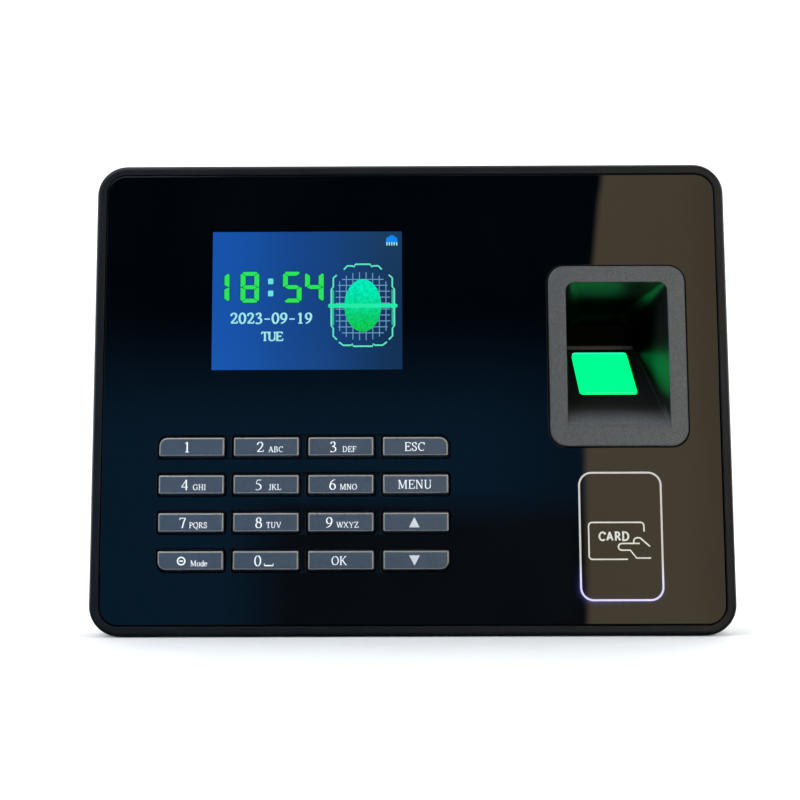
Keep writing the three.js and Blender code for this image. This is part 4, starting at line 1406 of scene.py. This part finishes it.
def sheet_strip(path, along_x, low, high):
    """Bent sheet: a path of (across, depth) swept between two positions along x or z."""
    half = SHEET / 2
    left = []
    right = []
    for i, (a, d) in enumerate(path):
        ahead = path[min(i + 1, len(path) - 1)]
        behind = path[max(i - 1, 0)]
        along = Vector((ahead[0] - behind[0], ahead[1] - behind[1])).normalized()
        left.append((a - along.y * half, d + along.x * half))
        right.append((a + along.y * half, d - along.x * half))
    outline = left + right[::-1]
    count = len(outline)
    points = [(position, d, a) if along_x else (a, d, position)
              for position in (low, high) for a, d in outline]
    faces = [tuple(range(count)), tuple(range(count, 2 * count))]
    faces += [(i, (i + 1) % count, count + (i + 1) % count, count + i) for i in range(count)]
    return points, faces


def bend(across, depth, start, end, radius=1.4):
    return arc(across, depth, radius, radius, start, end, 6)


def make_bracket():
    _, (bracket_half, back, _) = span("wall_bracket")
    front = back - SHEET
    middle = back - SHEET / 2
    half, z0, z1, corner = 55.0, 33.2, 111.3, 6.5
    hook, turn, tip = 2.0, 1.4, 27.2 + SHEET / 2
    edge = 0.25

    def plate_outline(inset):
        radii = [corner - inset, corner - inset, 0.6, 0.6]
        return rounded(0, (z0 + z1) / 2, 2 * half - 2 * inset, z1 - z0 - 2 * inset, radii, 12)

    front_edge = [(front, edge), (front + edge * 0.3, edge * 0.3), (front + edge, 0)]
    back_edge = [(back - edge, 0), (back - edge * 0.3, edge * 0.3), (back, edge)]
    plate = build("bracket_plate", stepped(plate_outline, *front_edge, *back_edge))
    ear_x = bracket_half - hook - SHEET / 2
    ear = [(half - 1, middle), (ear_x - turn, middle), *bend(ear_x - turn, middle - turn, 90, 0),
           *bend(ear_x + turn, tip + turn, 180, 270), (ear_x + SHEET / 2 + hook, tip)]
    strips = [sheet_strip([(side * x, d) for x, d in ear], False, z - 2.65, z + 2.65)
              for side in (-1, 1) for z in (35.75, 100.75)]
    top = z1 + 2.5 - SHEET / 2
    tongue = [(z1 - 1, middle), (top - turn, middle), *bend(top - turn, middle - turn, 90, 0),
              (top, HUMP_BACK + GAP)]
    strips.append(sheet_strip(tongue, True, TAB["x"] - TAB["stem"], TAB["x"] + TAB["stem"]))
    join(plate, *strips)

    beads = []
    cuts = []
    shares = [step / 8 for step in range(9)]
    for side in (-1, 1):
        def bead(width, length):
            return rounded(side * 45.7, 67.85, width, length, width / 2 - 0.05, 10)

        drops = [1.6 * (1 - math.cos(math.pi * share)) / 2 for share in shares]
        beads.append(loft([(front + 0.1 - drop * 1.7 / 1.6, bead(9.2 - 3.2 * share, 63.0 - 3.2 * share))
                           for share, drop in zip(shares, drops)]))
        cuts.append(loft([(back + 1, bead(8.4, 62.2))]
                         + [(back - drop, bead(8.4 - 3.6 * share, 62.2 - 3.6 * share))
                            for share, drop in zip(shares, drops)]))
    join(plate, *beads)
    # Slots and round holes: middle, width and height, then the corners' radius.
    for side in (-1, 1):
        for x, z, w, h, r in ((34.4, 100.0, 10.4, 5.1, 2.5), (34.1, 44.9, 5.1, 10.2, 2.5),
                              (25.0, 52.5, 4.2, 4.2, 2.1), (25.0, 92.5, 4.2, 4.2, 2.1)):
            wide = rounded(side * x, z, w + 0.4, h + 0.4, r + 0.15, 10)
            hole = rounded(side * x, z, w, h, r - 0.02, 10)
            cuts.append(loft([(front - 1, wide), (front, wide), (front + 0.2, hole), (back - 0.2, hole),
                              (back, wide), (back + 1, wide)]))
    carve(plate, *cuts)
    soften(plate, sharp=34)
    dress(plate, "bracket", body="wall_bracket", replaces=["wall_bracket"])


# ---- screws, label, header


def cross_cut(x, z, face, reach, width):
    """Two tapered wings of a cross-head recess, cut from the face towards the screw's tip."""
    return [loft([(face + 0.5, rounded(x, z, 2 * dx, 2 * dz, 0.1, 2)),
                  (face, rounded(x, z, 2 * dx, 2 * dz, 0.1, 2)),
                  (face - 1.0, rounded(x, z, dx * 0.8, dz * 1.1, 0.05, 2))])
            for dx, dz in ((reach, width), (width, reach))]


def make_screw(name, head, shaft, thickness, thread):
    """A pan head over a threaded shaft, on the place of its CAD node."""
    x, z, _, _, tip, face = measure(name)
    under = face - thickness
    pitch = 0.7
    core = shaft * 0.86
    profile = [(0, tip), (shaft * 0.5, tip), (core, tip + 0.7)]
    for turn in range(int(thread / pitch)):
        at = tip + 0.8 + turn * pitch
        profile += [(shaft * 0.84, at), (shaft, at + 0.3), (shaft * 0.84, at + 0.6)]
    profile += [(core, under), (head - 0.15, under), (head, under + 0.15)]
    rise = face - under - 0.15
    profile += [(head * (0.45 + 0.55 * cosine), under + 0.15 + rise * sine)
                for sine, cosine in quarter(6)[1:]]
    screw = build(f"{name}_body", turned(x, z, [*profile, (0, face)]))
    carve(screw, *cross_cut(x, z, face, head * 0.52, head * 0.14))
    soften(screw, sharp=40)
    dress(screw, "steel", replaces=[name])


def make_label():
    x, z, w, h, front, back = measure("rear_label")
    film = rounded(x, z, w, h, 1.0, 8)
    sticker = build("rear_label_film", loft([(front, film), (back - 0.05, film),
                                             (back, rounded(x, z, w - 0.1, h - 0.1, 0.95, 8))]))
    soften(sticker, sharp=50)
    dress(sticker, "label", replaces=["rear_label"])
    bars = []
    left = x - w / 2 + 2.2
    widths = (0.5, 0.9, 0.4, 1.1, 0.5, 0.7)
    while left < x + w / 2 - 2.8:
        count = len(bars)
        width = widths[(count * 5 + count // 3) % len(widths)]
        bars.append(block(left, left + width, back - 0.02, back + 0.012, z - h / 2 + 2.9, z + h / 2 - 1.2))
        left += width + widths[(count * 7 + 2) % len(widths)] * 0.4 + 0.25
    dress(build("rear_label_marks", *bars), "label_ink")


def make_header():
    (x0, front, z0), (x1, back, z1) = span("terminal_header")
    body = build("terminal_header_block", loft([
        (front, rect(x0, x1, z0, z1, 0, 0.15)),
        (back - 0.2, rect(x0, x1, z0, z1, 0, 0.15)),
        (back, rect(x0 + 0.2, x1 - 0.2, z0 + 0.2, z1 - 0.2, 0, 0.1)),
    ]))
    pitch = 3.5
    count = int((z1 - z0 - 1.5) / pitch)
    start = (z0 + z1) / 2 - (count - 1) * pitch / 2
    screw_x = x1 - 1.5
    screw = [(0, back - 1.6), (0.9, back - 1.6), (0.9, back - 0.7), (0.75, back - 0.5), (0, back - 0.5)]
    cuts = []
    pins = []
    slots = []
    for z in [start + i * pitch for i in range(count)]:
        cuts.append(block(x0 + 0.7, x0 + 2.6, back - 3, back + 1, z - 1.15, z + 1.15))
        cuts.append(prism(circle(screw_x, z, 1.0, 20), back - 1.6, back + 1))
        pins.append(turned(screw_x, z, screw, 20))
        pins.append(block(x0 + 1.45, x0 + 1.85, back - 3, back - 0.8, z - 0.9, z + 0.9))
        slots.append(block(x1 - 2.3, x1 - 0.7, back - 0.85, back, z - 0.12, z + 0.12))
    carve(body, *cuts)
    soften(body, sharp=40)
    dress(body, "header", replaces=["terminal_header"])
    contacts = build("terminal_header_contacts", *pins)
    carve(contacts, *slots)
    soften(contacts, sharp=40)
    dress(contacts, "steel")


# CAD nodes that keep their own shape, and their looks.
KEPT = {
    "lcd_panel": "display", "lcd_backlight": "diffuser", "lcd_frame": "steel", "keypad_mat": "silicone",
    "keypad_board": "board", "sensor_housing": "inner", "sensor_board": "board", "sensor_camera": "inner",
    "sensor_led_strip": "diffuser", "card_light_guide": "clear", "card_antenna": "board",
    "main_board": "board", "clock_battery": "steel", "speaker": "inner",
}


def dress_kept_nodes():
    for name, look in KEPT.items():
        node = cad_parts[name]
        node.data.materials.clear()
        node.data.materials.append(LOOKS[look])


# ---- stage, in metres


def make_card():
    """What the lens mirrors: a dim blue room on the left and a brown one on the right.

    It is a reflector card that only gloss and clear parts see. Its colours are laid out by the point of the
    lens in which the camera sees them.
    """
    name = "room_card"
    half, z0, z1 = 0.42, -0.2, 0.45
    away = (FRONT / MM - CARDS_AWAY) * MM
    mesh = bpy.data.meshes.new(name)
    corners = [(-half, away, z0), (half, away, z0), (half, away, z1), (-half, away, z1)]
    mesh.from_pydata(corners, [], [(0, 1, 2, 3)])
    card = place(name, mesh)
    look = Look(f"{name}_light")
    look.tree.nodes.remove(look.shader)
    reach = 1 + CARDS_AWAY / CAMERA["away"]
    across, _, height = look.axes()
    x, z = [look.plus(look.times(look.minus(axis, CAMERA[eye]), 1 / reach), CAMERA[eye])
            for axis, eye in ((across, "x"), (height, "z"))]

    lit_share = look.times(look.between(z, 98, 56), look.between(x, 60, 15, 0.55, 1))
    blue = look.mix(lit_share, (0.003, 0.028, 0.055), (0.055, 0.235, 0.49))
    low = look.times(look.between(z, 46, 30), look.between(x, -58, -34))
    blue = look.mix(look.times(low, 0.82), blue, (0.06, 0.055, 0.05))
    rise = look.most(look.minus(z, 38), 0)
    bowed = look.times(look.times(rise, rise), 6.6 / 96 ** 2)
    edge = look.between(look.minus(look.minus(x, bowed), 51.2), -1.4, 1.4)
    brown = look.mix(look.noise(160, 2), (1.26, 1.0, 0.66), (1.52, 1.24, 0.83))
    brown = look.mix(look.between(x, 79, 92, 0, 0.3), brown, (0.7, 0.55, 0.36))

    glow = look.node("Emission", {"Color": look.mix(edge, blue, brown)})
    out = next(n for n in look.tree.nodes if n.type == "OUTPUT_MATERIAL")
    look.feed(out.inputs["Surface"], glow)
    look.material.cycles.emission_sampling = "NONE"
    mesh.materials.append(look.material)
    card.visible_camera = False
    card.visible_diffuse = False
    card.visible_shadow = False


def make_backdrop():
    """A pale floor that turns up into a round wall, so that it stands behind the object from every side."""
    flat, bend_radius, top = 1.1, 0.6, 1.35
    profile = [(0.4, 0.0), (0.8, 0.0), (flat, 0.0)]
    profile += [(flat + bend_radius * sine, bend_radius * (1 - cosine)) for sine, cosine in quarter(14)[1:]]
    profile.append((flat + bend_radius, top))
    sides = 96
    floor_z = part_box("front_housing")[0].z - 0.0002
    points = [(0, 0, floor_z)]
    for radius, rise in profile:
        for i in range(sides):
            turn = 2 * math.pi * i / sides
            points.append((radius * math.cos(turn), radius * math.sin(turn), floor_z + rise))
    faces = [(0, 1 + i, 1 + (i + 1) % sides) for i in range(sides)]
    for a in range(1, len(points) - sides, sides):
        b = a + sides
        faces += [(a + i, b + i, b + (i + 1) % sides, a + (i + 1) % sides) for i in range(sides)]
    mesh = bpy.data.meshes.new("studio_floor")
    mesh.from_pydata(points, [], faces)
    mesh.shade_smooth()
    floor = place("studio_floor", mesh)
    look = Look("studio_paper")
    look.bump(look.noise(1.5, 4), 0.02)
    look.set(Base_Color=look.mix(look.noise(60, 3), (0.83, 0.835, 0.84), (0.87, 0.875, 0.88)), Roughness=0.8,
             Specular_IOR_Level=0.15)
    mesh.materials.append(look.material)
    floor.visible_glossy = False
    floor.visible_transmission = False


# Each light's place, width and height, power and colour.
WHITE = (1, 1, 1)
LIGHTS = {
    "key_left_above": ((-0.55, -0.55, 0.85), (0.6, 0.6), 4.0, (0.8, 0.91, 1.0)),
    "fill_right": ((0.9, -0.35, 0.45), (0.5, 0.6), 1.6, (1.0, 0.92, 0.8)),
    "cool_left": ((-0.85, -0.1, 0.25), (0.3, 0.6), 1.1, (0.7, 0.86, 1.0)),
    "top": ((0.0, 0.05, 1.0), (0.9, 0.5), 4.0, WHITE),
    "rear_left": ((0.7, 0.8, 0.6), (0.5, 0.5), 3.2, WHITE),
    "rear_right": ((-0.75, 0.7, 0.4), (0.3, 0.7), 2.0, WHITE),
    "low_rear_left": ((0.9, 0.22, 0.12), (0.2, 0.5), 2.2, WHITE),
    "low_rear_right": ((-0.9, 0.22, 0.12), (0.2, 0.5), 2.2, WHITE),
}


def make_light(name, position, size, power, colour, aim=(0, 0, 0.07)):
    data = bpy.data.lights.new(name, "AREA")
    data.shape = "RECTANGLE"
    data.size, data.size_y = size
    data.energy = power
    data.color = colour
    lamp = place(name, data)
    lamp.location = position
    lamp.rotation_euler = (Vector(aim) - Vector(position)).to_track_quat("-Z", "Y").to_euler()
    lamp.visible_camera = False


def make_lights():
    for name, settings in LIGHTS.items():
        make_light(name, *settings)
    washes = 6
    for i in range(washes):
        angle = 2 * math.pi * (i + 0.5) / washes
        x, y = math.cos(angle), math.sin(angle)
        make_light(f"wall_wash_{i + 1}", (0.5 * x, 0.5 * y, 0.95), (0.5, 0.3), 5.0, WHITE,
                   aim=(1.7 * x, 1.7 * y, 0.45))
    world = bpy.data.worlds.new("studio")
    world.use_nodes = True
    background = world.node_tree.nodes["Background"]
    background.inputs["Color"].default_value = (0.95, 0.97, 1.0, 1)
    background.inputs["Strength"].default_value = 0.6
    world.cycles_visibility.glossy = False
    world.cycles_visibility.transmission = False
    bpy.context.scene.world = world


def make_camera():
    """The photograph's place: close in front of the lens, below and left of its middle, aimed up a little."""
    data = bpy.data.cameras.new("camera")
    data.sensor_width = 36
    data.lens = CAMERA["lens"]
    data.shift_x = CAMERA["shift"]
    data.clip_start = 0.01
    camera = place("camera", data)
    camera.location = (CAMERA["x"] * MM, FRONT - CAMERA["away"] * MM, CAMERA["z"] * MM)
    forward = Vector((-0.0033, 0.996, 0.0898))
    roll = math.radians(-0.17)
    camera.matrix_world = (Matrix.Translation(camera.location)
                           @ forward.to_track_quat("-Z", "Y").to_matrix().to_4x4()
                           @ Matrix.Rotation(roll, 4, "Z"))
    bpy.context.scene.camera = camera
    bpy.context.scene.view_settings.view_transform = "Standard"


# ---- build

make_camera()
make_backdrop()
make_lights()
make_card()

make_housing()
make_lens()
for key_name in KEYS:
    make_key(key_name)
    make_legend(key_name)
make_well()
make_sensor()
make_clock()
make_date()
make_scan_picture()
make_network_icon()
make_card_zone()
make_cover()
make_tab()
make_bracket()
for number in range(1, 5):
    make_screw(f"cover_screw_{number}", 2.7, 1.4, 1.9, 5.6)
    make_screw(f"board_screw_{number}", 2.4, 0.8, 1.5, 5.0)
make_label()
make_header()
dress_kept_nodes()
